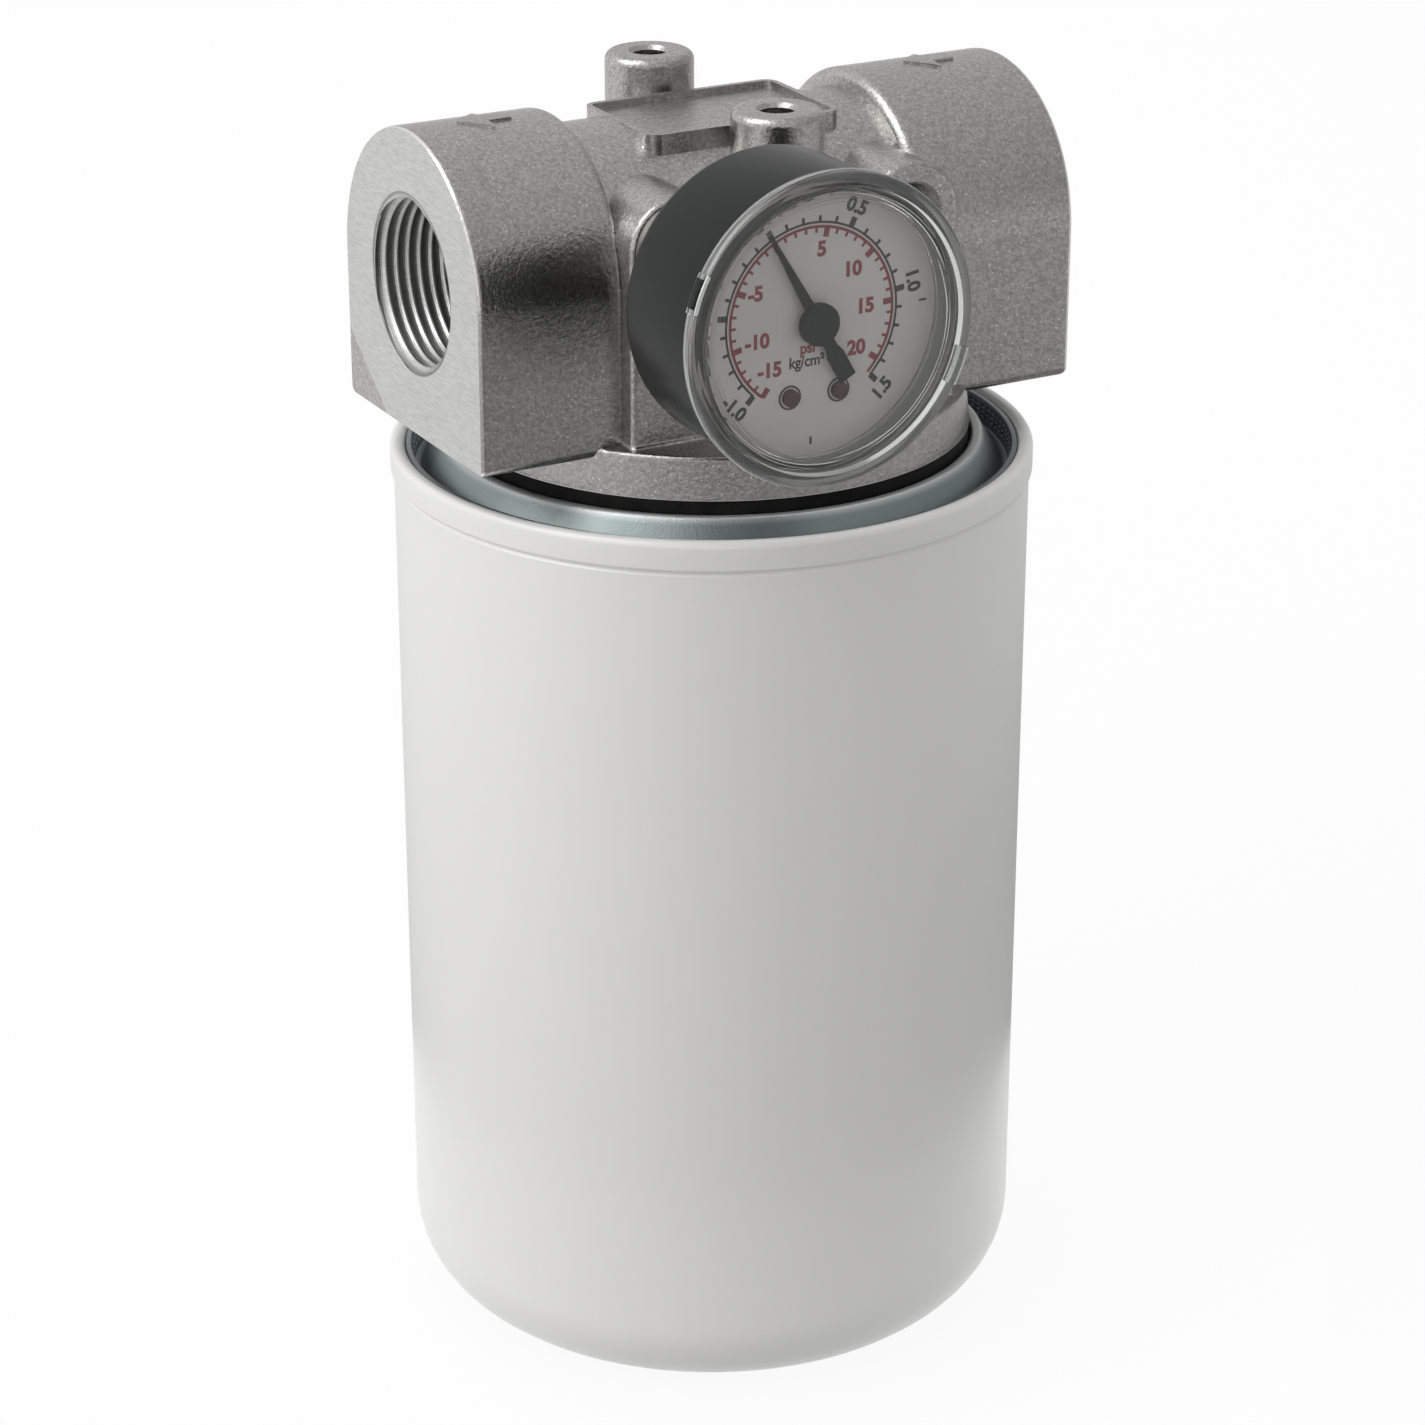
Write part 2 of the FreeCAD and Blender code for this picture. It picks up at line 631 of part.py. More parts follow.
def makeGasket():
    body = newBody("sealing_gasket")
    revolve(body, "GasketSection", [
        (gasketInner, grooveFloor),
        (gasketOuter, grooveFloor),
        (gasketOuter, headFace - gasketRound),
        (gasketOuter - gasketRound, headFace, gasketOuter - gasketRound, headFace - gasketRound, 1),
        (gasketInner + gasketRound, headFace),
        (gasketInner, headFace - gasketRound, gasketInner + gasketRound, headFace - gasketRound, 1),
    ])


def makeTappingPlate():
    body = newBody("tapping_plate")
    revolve(body, "PlateSection", [
        (threadBore, collarBottom),
        (collarRadius, collarBottom),
        (collarRadius, plateBottom),
        (plateRadius, plateBottom),
        (plateRadius, plateTop),
        (threadBore, plateTop),
    ])
    sketch = newSketch(body, "InletHole", "XY_Plane", plateTop)
    circle(sketch, inletHoleCircle, zero, inletHoleRadius)
    hole = pocket(body, "InletHoleCut", sketch, plateThick * overcut)
    polar(body, "InletHoles", hole, inletHoleCount)


def makeNipple():
    body = newBody("threaded_nipple")
    chamfer = threadPitch / 2
    revolve(body, "NippleSection", [
        (nippleBore, nippleBottom),
        (nippleRadius - chamfer, nippleBottom),
        (nippleRadius, nippleBottom + chamfer),
        (nippleRadius, nippleTop - chamfer),
        (nippleRadius - chamfer, nippleTop),
        (nippleBore, nippleTop),
    ])


# Filter element
def makeEndCaps():
    skirt = capRadius - sheetMetal
    top = newBody("element_top_cap")
    revolve(top, "TopCapSection", [
        (capHole, elementTop - sheetMetal),
        (skirt, elementTop - sheetMetal),
        (skirt, elementTop - capSkirt),
        (capRadius, elementTop - capSkirt),
        (capRadius, elementTop),
        (capHole, elementTop),
    ])
    bottom = newBody("element_bottom_cap")
    revolve(bottom, "BottomCapSection", [
        (zero, elementLift),
        (capRadius, elementLift),
        (capRadius, elementLift + capSkirt),
        (skirt, elementLift + capSkirt),
        (skirt, elementLift + sheetMetal),
        (zero, elementLift + sheetMetal),
    ])


def makeCentreTube():
    body = newBody("centre_tube")
    low = elementLift + sheetMetal
    high = elementTop - sheetMetal
    revolve(body, "TubeSection", [
        (tubeRadius - sheetMetal, low),
        (tubeRadius, low),
        (tubeRadius, high),
        (tubeRadius - sheetMetal, high),
    ])
    sketch = newSketch(body, "TubeHole", "XZ_Plane", -tubeRadius * overcut)
    spacing = (high - low) / (tubeHoleRows + 1)
    for row in range(tubeHoleRows):
        circle(sketch, zero, low + spacing * (row + 1), tubeHoleRadius)
    hole = pocket(body, "TubeHoleCut", sketch, tubeRadius * overcut * 2, True)
    polar(body, "TubeHoles", hole, tubeHoleAcross)
    body.Tip.Angle = fullTurn / 2 * (tubeHoleAcross - 1) / tubeHoleAcross


# Pleated paper: a star of folds between the inner and the outer circle
def makeMedia():
    low = number(elementLift + sheetMetal)
    high = number(elementTop - sheetMetal)
    step = math.pi / pleatCount
    faces = []
    outside = (mediaInner + mediaThick, mediaOuter)
    inside = (mediaInner - foldInside, mediaOuter - foldOutside)
    for inner, outer in (outside, inside):
        ring = []
        for fold in range(2 * pleatCount):
            radius = number(outer if fold % 2 else inner)
            ring.append(FreeCAD.Vector(radius * math.cos(fold * step), radius * math.sin(fold * step), low))
        ring.append(ring[0])
        faces.append(Part.Face(Part.makePolygon(ring)))
    star = faces[0].cut(faces[1]).Faces[0]
    plainShape("pleated_media", star.extrude(FreeCAD.Vector(0, 0, high - low)))


def makeGrommet():
    body = newBody("element_seal")
    inner = collarRadius + runningFit
    top = elementTop + grommetHeight
    revolve(body, "SealSection", [
        (inner, elementTop),
        (inner + grommetWidth, elementTop),
        (inner + grommetWidth, elementTop + grommetHeight / 2),
        (inner + grommetWidth / 2, top),
        (inner, top),
    ])


def coil(body, name, radius, wire, bottom, top, turns):
    sketch = newSketch(body, name + "Wire", "XZ_Plane")
    circle(sketch, radius, bottom + wire, wire)
    feature = body.newObject("PartDesign::AdditiveHelix", name)
    feature.Profile = sketch
    feature.ReferenceAxis = (sketch, ["V_Axis"])
    feature.Mode = "height-turns-angle"
    bind(feature, "Height", top - bottom - wire * 2)
    bind(feature, "Turns", turns)
    return feature


def makeSupportSpring():
    body = newBody("support_spring")
    coil(body, "SupportCoil", coilRadius, coilWire, canWall, elementLift, coilTurns)


# Filter head: one die casting
def onPlaneX(edge, item):
    box = edge.BoundBox
    return near(box.XMin, item) and near(box.XMax, item)


def onPlaneY(edge, item):
    box = edge.BoundBox
    return near(box.YMin, item) and near(box.YMax, item)


def onPlaneZ(edge, item):
    box = edge.BoundBox
    return near(box.ZMin, item) and near(box.ZMax, item)


def portBoss(body, name, start, length):
    sketch = newSketch(body, name + "Outline", "YZ_Plane", start)
    outline(sketch, [
        (-bossRadius, bossBottom + bossCorner),
        (bossCorner - bossRadius, bossBottom, bossCorner - bossRadius, bossBottom + bossCorner, 1),
        (bossRadius - bossCorner, bossBottom),
        (bossRadius, bossBottom + bossCorner, bossRadius - bossCorner, bossBottom + bossCorner, 1),
        (bossRadius, portAxis),
        (-bossRadius, portAxis, zero, portAxis, 1),
    ])
    return pad(body, name, sketch, length)


def makeHead():
    body = newBody("filter_head")
    taperTop = flangeRadius - flangeDraft
    revolve(body, "Flange", [
        (zero, headFace),
        (flangeRadius, headFace),
        (taperTop, ledge - flangeRound),
        (taperTop - flangeRound, ledge, taperTop - flangeRound, ledge - flangeRound, 1),
        (zero, ledge),
    ])
    castHalf = headHalf + faceCut
    portBoss(body, "LeftBoss", -castHalf, castHalf - leftInner)
    bosses = portBoss(body, "RightBoss", rightInner, castHalf - rightInner)
    bosses = fillet(body, "OuterEdges", bosses, isOuterEdge, edgeRound)
    for name, end in (("LeftInnerEdge", -leftInner), ("RightInnerEdge", rightInner)):
        bosses = fillet(body, name, bosses, lambda edge: isInnerEdge(edge, end), innerRound)
    millFaces(body)
    sketch = newSketch(body, "CoreOutline", "YZ_Plane", -leftInner - coreOverlap)
    arch(sketch, zero, coreRadius, ledge - flangeRound, portAxis)
    pad(body, "Core", sketch, leftInner + rightInner + coreOverlap * 2)
    addColumns(body)
    addTray(body)
    fillet(body, "FootEdges", body.Tip, isFootEdge, footRound)
    addArrows(body)
    cutPorts(body)
    cutInside(body)
    cutSmallHoles(body)


def isOuterEdge(edge):
    return onPlaneX(edge, headHalf + faceCut) or onPlaneX(edge, -headHalf - faceCut)


def isInnerEdge(edge, end):
    return onPlaneX(edge, end) and not onPlaneZ(edge, ledge)


# Edges where the body stands on the flange, between the port bosses
def isFootEdge(edge):
    box = edge.BoundBox
    reach = max(abs(box.XMin), abs(box.XMax))
    return onPlaneZ(edge, ledge) and reach < number(leftInner + innerRound)


# The port faces are milled back, which leaves a sharp edge on the cast round
def millFaces(body):
    for name, side in (("LeftMilling", -1), ("RightMilling", 1)):
        sketch = newSketch(body, name + "Outline", "YZ_Plane", headHalf * side)
        circle(sketch, zero, portAxis, bossRadius * 2)
        pocket(body, name, sketch, faceCut * 2, side > 0)


def addColumns(body):
    sketch = newSketch(body, "MountOutline", "XY_Plane", ledge - flangeRound)
    circle(sketch, zero, mountReach, mountRadius)
    circle(sketch, zero, -mountReach, mountRadius)
    mounts = pad(body, "Mounts", sketch, mountTop - ledge + flangeRound)
    fillet(body, "MountEdges", mounts, lambda edge: onPlaneZ(edge, mountTop), mountRound)
    sketch = newSketch(body, "GaugeColumnOutline", "XZ_Plane", coreRadius / 2)
    arch(sketch, -gaugeReach, columnRadius, ledge - flangeRound, gaugeAxis)
    arch(sketch, gaugeReach, columnRadius, ledge - flangeRound, gaugeAxis)
    columns = pad(body, "GaugeColumns", sketch, columnFace - coreRadius / 2)
    front = lambda edge: onPlaneY(edge, -columnFace) and not onPlaneZ(edge, ledge)
    fillet(body, "ColumnEdges", columns, front, columnRound)


def addTray(body):
    base = portAxis + coreRadius / 2
    sketch = newSketch(body, "TrayOutline", "XY_Plane", base)
    roundedBox(sketch, (-trayLength, -trayWidth), (trayLength, trayWidth), trayCorner)
    pad(body, "Tray", sketch, trayTop - base)
    sketch = newSketch(body, "TrayFloor", "XY_Plane", trayTop)
    low = (trayRim - trayLength, trayRim - trayWidth)
    high = (trayLength - trayRim, trayWidth - trayRim)
    roundedBox(sketch, low, high, trayCorner / 2)
    pocket(body, "TrayHollow", sketch, trayDepth)


# Flow arrows stand on the port bosses and point from the inlet to the outlet
def addArrows(body):
    base = portAxis + bossRadius - arrowRoot
    for name, middle in (("LeftArrow", -arrowPlace), ("RightArrow", arrowPlace)):
        sketch = newSketch(body, name + "Outline", "XY_Plane", base)
        outline(sketch, [
            (middle + arrowTail, -arrowShaft),
            (middle + arrowTail, arrowShaft),
            (middle, arrowShaft),
            (middle, arrowHalf),
            (middle - arrowHead, zero),
            (middle, -arrowHalf),
            (middle, -arrowShaft),
        ])
        pad(body, name, sketch, arrowRoot + arrowRise)
        trimArrow(body, name + "Top", middle - arrowHead * 2)


# The arrow's top is cut to a curve that stands evenly above the boss
def trimArrow(body, name, start):
    reach = bossRadius + arrowRise
    half = reach * sine(arrowTrim)
    side = portAxis + reach * cosine(arrowTrim)
    high = portAxis + bossRadius + arrowRoot
    sketch = newSketch(body, name + "Outline", "YZ_Plane", start)
    outline(sketch, [
        (half, high),
        (-half, high),
        (-half, side),
        (half, side, zero, portAxis, -1),
    ])
    pocket(body, name, sketch, arrowHead * 4, True)


def cutPorts(body):
    for name, side, end in (("OutletPort", -1, zero), ("InletPort", 1, (wellInner + wellOuter) / 2)):
        face = headHalf * side
        mouth = portMouth - portBore
        sink = mouth * side
        out = mouthOver * side
        thread = (headHalf - portDepth) * side
        step = (headHalf - portDepth - portBore + passageRadius) * side
        turnAlongX(body, name, portAxis, [
            (end, portAxis),
            (end, portAxis + passageRadius),
            (step, portAxis + passageRadius),
            (thread, portAxis + portBore),
            (face - sink, portAxis + portBore),
            (face + out, portAxis + portMouth + mouthOver),
            (face + out, portAxis),
        ])


def cutInside(body):
    under = headFace - bossRecess
    revolve(body, "Annulus", [
        (zero, under),
        (annulusOuter, under),
        (annulusOuter, headFace),
        (annulusOuter - annulusDraft, headFace + annulusDepth),
        (nippleBoss + annulusDraft, headFace + annulusDepth),
        (nippleBoss, headFace + bossRecess),
        (zero, headFace + bossRecess),
    ], "PartDesign::Groove")
    revolve(body, "Chamber", [
        (zero, headFace),
        (threadBore, headFace),
        (threadBore, spiderTop),
        (chamberRadius, spiderTop),
        (chamberRadius, seatHeight),
        (seatBore, seatHeight),
        (seatBore, seatHeight + seatThick),
        (crownRadius, seatHeight + seatThick),
        (crownRadius, seatHeight + seatThick + crownHeight),
        (zero, seatHeight + seatThick + crownHeight),
    ], "PartDesign::Groove")
    crown = seatHeight + seatThick
    sketch = newSketch(body, "WellOutline", "XY_Plane", under)
    roundedBox(sketch, (wellInner, -wellHalf), (wellOuter, wellHalf), wellCorner)
    pocket(body, "Well", sketch, crown + crownHeight - under, True)
    sketch = newSketch(body, "CrownOutline", "XY_Plane", crown)
    roundedBox(sketch, (zero, -crownSlot), (wellOuter - wellCorner, crownSlot), wellCorner)
    pocket(body, "CrownSlot", sketch, crownHeight, True)


def cutSmallHoles(body):
    sketch = newSketch(body, "MountHoleOutline", "XY_Plane", mountTop)
    circle(sketch, zero, mountReach, mountBore)
    circle(sketch, zero, -mountReach, mountBore)
    holes = pocket(body, "MountHoles", sketch, mountDepth)
    mouth = lambda edge: onPlaneZ(edge, mountTop) and edge.BoundBox.XLength < number(mountRadius)
    fillet(body, "MountMouths", holes, mouth, mountChamfer, "PartDesign::Chamfer")
    sketch = newSketch(body, "GaugeHoleOutline", "XZ_Plane", columnFace)
    circle(sketch, -gaugeReach, gaugeAxis, gaugeBore)
    circle(sketch, gaugeReach, gaugeAxis, gaugeBore)
    holes = pocket(body, "GaugeHoles", sketch, gaugeBoreDepth)
    mouth = lambda edge: onPlaneY(edge, -columnFace) and near(edge.BoundBox.ZLength, gaugeBore * 2)
    fillet(body, "GaugeMouths", holes, mouth, gaugeBoreChamfer, "PartDesign::Chamfer")
    sketch = newSketch(body, "DrillOutline", "XZ_Plane", columnFace)
    circle(sketch, -gaugeReach, gaugeAxis, drillRadius)
    circle(sketch, gaugeReach, gaugeAxis, drillRadius)
    pocket(body, "Drillings", sketch, columnFace - drillEnd)


# Bypass valve between the crown of the inlet and the outlet chamber
def makeBypass():
    cage = newBody("bypass_cage")
    rim = threadBore - runningFit
    revolve(cage, "CageSection", [
        (poppetStem + runningFit, nippleTop),
        (rim, nippleTop),
        (rim, spiderTop),
        (poppetStem + runningFit, spiderTop),
    ])
    half = spiderWindow / 2
    outer = rim - spiderRim
    sketch = newSketch(cage, "WindowOutline", "XY_Plane", spiderTop)
    outline(sketch, [
        (spiderHub * cosine(half), spiderHub * sine(half) * -1),
        (outer * cosine(half), outer * sine(half) * -1),
        (outer * cosine(half), outer * sine(half), zero, zero, 1),
        (spiderHub * cosine(half), spiderHub * sine(half)),
    ])
    window = pocket(cage, "Window", sketch, spiderThick * overcut)
    polar(cage, "Windows", window, spiderArms)
    poppet = newBody("bypass_poppet")
    revolve(poppet, "PoppetSection", [
        (zero, nippleTop - poppetTail),
        (poppetStem, nippleTop - poppetTail),
        (poppetStem, poppetBottom - poppetNose),
        (poppetGuide - guideTaper, poppetBottom - poppetNose),
        (poppetGuide, poppetBottom),
        (poppetRadius, poppetBottom),
        (poppetRadius, seatHeight),
        (seatBore - seatPlay, seatHeight),
        (seatBore - poppetNose, seatHeight + poppetNose),
        (zero, seatHeight + poppetNose),
    ])
    spring = newBody("bypass_spring")
    low = spiderTop + springPlay
    high = poppetBottom - springPlay
    coil(spring, "BypassCoil", valveCoil, valveWire, low, high, valveTurns)


# Gauge: brass socket with its thread, shank, hexagon and the block that carries the tube
def makeSocket():
    body = onGauge(newBody("gauge_socket"))
    seat = columnFace + washerThick
    hexagonStart = caseBack - hexLength
    thread = gaugeBore - runningFit
    revolve(body, "StemSection", [
        (drillRadius, columnFace - stemThread),
        (thread, columnFace - stemThread),
        (thread, seat),
        (shankRadius, seat),
        (shankRadius, hexagonStart),
        (neckRadius, hexagonStart),
        (neckRadius, caseFloor),
        (drillRadius, caseFloor),
    ])
    sketch = newSketch(body, "HexagonOutline", "XY_Plane", hexagonStart)
    step = fullTurn / hexSides
    corner = hexFlats / 2 / cosine(step / 2)
    corners = []
    for index in range(hexSides):
        bearing = step * (index + 0.5)
        corners.append((corner * cosine(bearing), corner * sine(bearing)))
    outline(sketch, corners)
    circle(sketch, zero, zero, neckRadius)
    pad(body, "Hexagon", sketch, hexLength)
    sketch = newSketch(body, "BlockOutline", "XY_Plane", caseFloor)
    shoulder = pathRadius - blockShoulder
    outline(sketch, [
        (-blockHalf, -blockFoot),
        (blockFoot * cosine(tubeStart) / sine(tubeStart) * -1, -blockFoot),
        (shoulder * cosine(tubeStart), shoulder * sine(tubeStart)),
        (blockHalf, -blockSide),
        (blockHalf, blockTop),
        (-blockHalf, blockTop),
    ])
    pad(body, "Block", sketch, blockHeight)
    sketch = newSketch(body, "ScrewHoles", "XY_Plane", blockFace)
    circle(sketch, screwReach, -screwDrop, screwShank + pressFit)
    circle(sketch, -screwReach, -screwDrop, screwShank + pressFit)
    pocket(body, "ScrewHoleCut", sketch, blockHeight / 2)


def makeWasher():
    body = onGauge(newBody("gauge_washer"))
    bore = gaugeBore + runningFit
    revolve(body, "WasherSection", [
        (bore, columnFace),
        (washerRadius, columnFace),
        (washerRadius, columnFace + washerThick),
        (bore, columnFace + washerThick),
    ])


def makeCase():
    body = onGauge(newBody("gauge_case"))
    front = caseBack + caseDepth
    hole = neckRadius + runningFit
    inside = caseRound - caseWall
    revolve(body, "CaseSection", [
        (hole, caseBack),
        (caseRadius - caseRound, caseBack),
        (caseRadius, caseBack + caseRound, caseRadius - caseRound, caseBack + caseRound, 1),
        (caseRadius, front),
        (caseRadius - caseWall, front),
        (caseRadius - caseWall, caseFloor + inside),
        (caseRadius - caseRound, caseFloor, caseRadius - caseRound, caseFloor + inside, -1),
        (hole, caseFloor),
    ])


# Lens: a clear plug with a ring over the mouth of the case and a wall inside it
def makeLens():
    body = onGauge(newBody("gauge_lens"))
    flange = caseBack + caseDepth + pressFit
    windowFront = lensFront - lensSink
    windowBack = windowFront - lensThick
    wallOuter = caseRadius - caseWall - pressFit
    wallInner = wallOuter - lensWall
    revolve(body, "LensSection", [
        (zero, windowBack),
        (wallInner, windowBack),
        (wallInner, dialFront + lensGap),
        (wallOuter, dialFront + lensGap),
        (wallOuter, flange),
        (bezelRadius, flange),
        (bezelRadius, lensFront - lensThick),
        (bezelRadius - lensThick, lensFront, bezelRadius - lensThick, lensFront - lensThick, 1),
        (bezelRadius - lensRing, lensFront),
        (bezelRadius - lensRing - lensFall, windowFront - lensSink),
        (lensWindow, windowFront - lensSink),
        (lensWindow - lensSink, windowFront),
        (zero, windowFront),
    ])


def makeDial():
    body = onGauge(newBody("dial_plate"))
    sketch = newSketch(body, "DialOutline", "XY_Plane", dialBack)
    circle(sketch, zero, zero, dialRadius)
    circle(sketch, zero, zero, dialHole)
    for side in (-1, 1):
        circle(sketch, screwReach * side, -screwDrop, screwShank + pressFit)
    pad(body, "Dial", sketch, dialThick)


# Turned pieces at the two dial screws: each ring is its outer radius, bore, low and high end
def turnedPair(label, rings):
    solids = []
    for side in (-1, 1):
        middle = FreeCAD.Vector(side * number(screwReach), -number(screwDrop), 0)
        stack = None
        for outer, bore, low, high in rings:
            place = middle + FreeCAD.Vector(0, 0, number(low))
            height = number(high) - number(low)
            ring = Part.makeCylinder(number(outer), height, place)
            if bore is not None:
                ring = ring.cut(Part.makeCylinder(number(bore), height, place))
            stack = ring if stack is None else stack.fuse(ring)
        solids.append(stack.removeSplitter())
    pair = plainShape(label, Part.makeCompound(solids))
    return onGauge(pair)


def makeScrewsAndPosts():
    shankHole = screwShank + pressFit
    turnedPair("dial_screws", [
        (screwHead, None, dialFront, dialFront + screwRise),
        (screwShank, None, dialFront - screwLength, dialFront),
    ])
    turnedPair("dial_posts", [(pillarRadius, shankHole, frontPlate + plateSheet, dialBack)])
    turnedPair("movement_pillars", [
        (pillarRadius, None, backPlate + plateSheet, frontPlate),
        (screwShank, None, backPlate - pillarFoot, backPlate + plateSheet),
    ])


# Movement plates: one outline that reaches the posts, the pinion and the sector's pivot
def movementPlate(label, station):
    body = onGauge(newBody(label))
    sketch = newSketch(body, "PlateOutline", "XY_Plane", station)
    low = -screwDrop - plateMargin
    right = screwReach + plateMargin
    outline(sketch, [
        (-right, low),
        (right, low),
        (right, plateMargin),
        (zero, plateMargin * 2),
        (pivotX, pivotY + plateMargin),
        (pivotX - plateMargin, pivotY),
        (pivotX, pivotY - plateMargin),
        (-right, -plateMargin),
    ])
    circle(sketch, zero, zero, shaftRadius + runningFit)
    circle(sketch, pivotX, pivotY, arborRadius + runningFit)
    for side in (-1, 1):
        circle(sketch, screwReach * side, -screwDrop, screwShank + pressFit)
    pad(body, "Plate", sketch, plateSheet)


# Gear outline: straight-flanked teeth, thinned for backlash, on a circle about a place.
# first and last count teeth from the tooth at angle zero
def toothRow(place, pitchRadius, teeth, first, last, offset):
    module = 2 * pitchRadius / teeth
    root = (pitchRadius - number(rootDepth) * module, number(rootShare))
    pitch = (pitchRadius, number(pitchShare))
    tip = (pitchRadius + number(tipHeight) * module, number(tipShare))
    step = 2 * math.pi / teeth
    points = []
    for index in range(first, last + 1):
        for side, rings in ((-1, (root, pitch, tip)), (1, (tip, pitch, root))):
            for radius, share in rings:
                angle = (index + offset + side * share) * step
                points.append(place + FreeCAD.Vector(radius * math.cos(angle), radius * math.sin(angle), 0))
    return points


def makePinion():
    teeth = pinionTeeth
    pitch = number(pinionPitch)
    facing = number(sectorBearing) / fullTurn * teeth
    place = FreeCAD.Vector(0, 0, number(sectorStation) - number(linkGap))
    points = toothRow(place, pitch, teeth, 0, teeth - 1, facing + 0.5)
    points.append(points[0])
    gear = Part.Face(Part.makePolygon(points))
    gear = gear.extrude(FreeCAD.Vector(0, 0, number(sectorThick) + 2 * number(linkGap)))
    low = number(backPlate)
    high = number(dialFront) + number(pointerStand) + number(pointerSheet)
    shaft = Part.makeCylinder(number(shaftRadius), high - low, FreeCAD.Vector(0, 0, low))
    onGauge(plainShape("pinion_shaft", gear.fuse(shaft).removeSplitter()))


# Sector: a toothed arm with a tail, on its own arbor
def makeSector():
    place = FreeCAD.Vector(number(pivotX), number(pivotY), number(sectorStation))
    teeth = pinionTeeth * gearRatio
    facing = number(sectorBearing) / fullTurn + 0.5
    first = int(number(sectorLow))
    last = int(number(sectorHigh))
    points = toothRow(place, number(sectorPitch), teeth, first, last, facing * teeth)
    thick = FreeCAD.Vector(0, 0, number(sectorThick))
    points.append(place)
    points.append(points[0])
    arm = Part.Face(Part.makePolygon(points)).extrude(thick)
    tail = math.radians(number(tailAngle))
    along = FreeCAD.Vector(math.cos(tail), math.sin(tail), 0)
    across = FreeCAD.Vector(-along.y, along.x, 0) * number(linkHalf)
    end = place + along * number(tailLength)
    strip = [place + across, end + across, end - across, place - across, place + across]
    tailSolid = Part.Face(Part.makePolygon(strip)).extrude(thick)
    tailEnd = Part.makeCylinder(number(linkHalf), thick.z, end)
    body = arm.fuse([tailSolid, tailEnd, Part.makeCylinder(number(sectorHub), thick.z, place)])
    body = body.cut(Part.makeCylinder(number(arborRadius) + number(drivenFit), thick.z, place))
    body = body.cut(Part.makeCylinder(number(linkPin) + number(runningFit), thick.z, end))
    onGauge(plainShape("sector_gear", body.removeSplitter()))
    low = number(backPlate)
    length = number(frontPlate) + number(plateSheet) - low
    arbor = Part.makeCylinder(number(arborRadius), length, FreeCAD.Vector(place.x, place.y, low))
    onGauge(plainShape("sector_arbor", arbor))


# Bourdon tube: an oval section turned about the gauge axis
def makeBourdonTube():
    thin = number(tubeThin)
    broad = number(tubeBroad)
    path = number(pathRadius)
    station = number(tubeStation)
    straight = broad - thin
    start = math.radians(number(tubeStart))
    radial = FreeCAD.Vector(math.cos(start), math.sin(start), 0)
    up = FreeCAD.Vector(0, 0, 1)
    centre = radial * path + up * station

    rightFoot = centre + radial * thin - up * straight
    rightHead = centre + radial * thin + up * straight
    leftHead = centre - radial * thin + up * straight
    leftFoot = centre - radial * thin - up * straight
    edges = [
        Part.LineSegment(rightFoot, rightHead).toShape(),
        Part.Arc(rightHead, centre + up * broad, leftHead).toShape(),
        Part.LineSegment(leftHead, leftFoot).toShape(),
        Part.Arc(leftFoot, centre - up * broad, rightFoot).toShape(),
    ]
    oval = Part.Face(Part.Wire(edges))
    tube = oval.revolve(FreeCAD.Vector(0, 0, 0), up, number(tubeSweep))
    onGauge(plainShape("bourdon_tube", tube))


# Tip piece closes the tube and carries the link
def makeTubeTip():
    body = onGauge(newBody("tube_tip"))
    start = tubeStart + tubeSweep
    finish = start + tipAngle
    outer = pathRadius + tubeThin
    inner = pathRadius - tubeThin
    tab = inner - tipReach
    sketch = newSketch(body, "TipOutline", "XY_Plane", tubeStation - tipHalf)
    outline(sketch, [
        (tab * cosine(start), tab * sine(start)),
        (outer * cosine(start), outer * sine(start)),
        (outer * cosine(finish), outer * sine(finish), zero, zero, 1),
        (tab * cosine(finish), tab * sine(finish)),
    ])
    pad(body, "Tip", sketch, sectorStation + sectorThick - tubeStation + tipHalf)


# Link: carried on the sector's tail, its far end lies over the tip piece
def makeLink():
    tail = math.radians(number(tailAngle))
    reach = number(tailLength)
    level = number(sectorStation) + number(sectorThick) + number(linkGap)
    start = FreeCAD.Vector(
        number(pivotX) + reach * math.cos(tail),
        number(pivotY) + reach * math.sin(tail),
        level,
    )
    bearing = math.radians(number(tubeStart) + number(tubeSweep) + number(tipAngle) / 2)
    far = number(linkReach)
    finish = FreeCAD.Vector(far * math.cos(bearing), far * math.sin(bearing), level)
    along = (finish - start).normalize()
    across = FreeCAD.Vector(-along.y, along.x, 0) * number(linkHalf)
    strip = [start + across, finish + across, finish - across, start - across, start + across]
    thick = number(linkSheet)
    bar = Part.Face(Part.makePolygon(strip)).extrude(FreeCAD.Vector(0, 0, thick))
    ends = [Part.makeCylinder(number(linkHalf), thick, place) for place in (start, finish)]
    pinFoot = start - FreeCAD.Vector(0, 0, number(linkGap) + number(sectorThick))
    pinHeight = number(linkGap) + number(sectorThick) + thick
    pin = Part.makeCylinder(number(linkPin), pinHeight, pinFoot)
    onGauge(plainShape("connecting_link", bar.fuse(ends + [pin]).removeSplitter()))


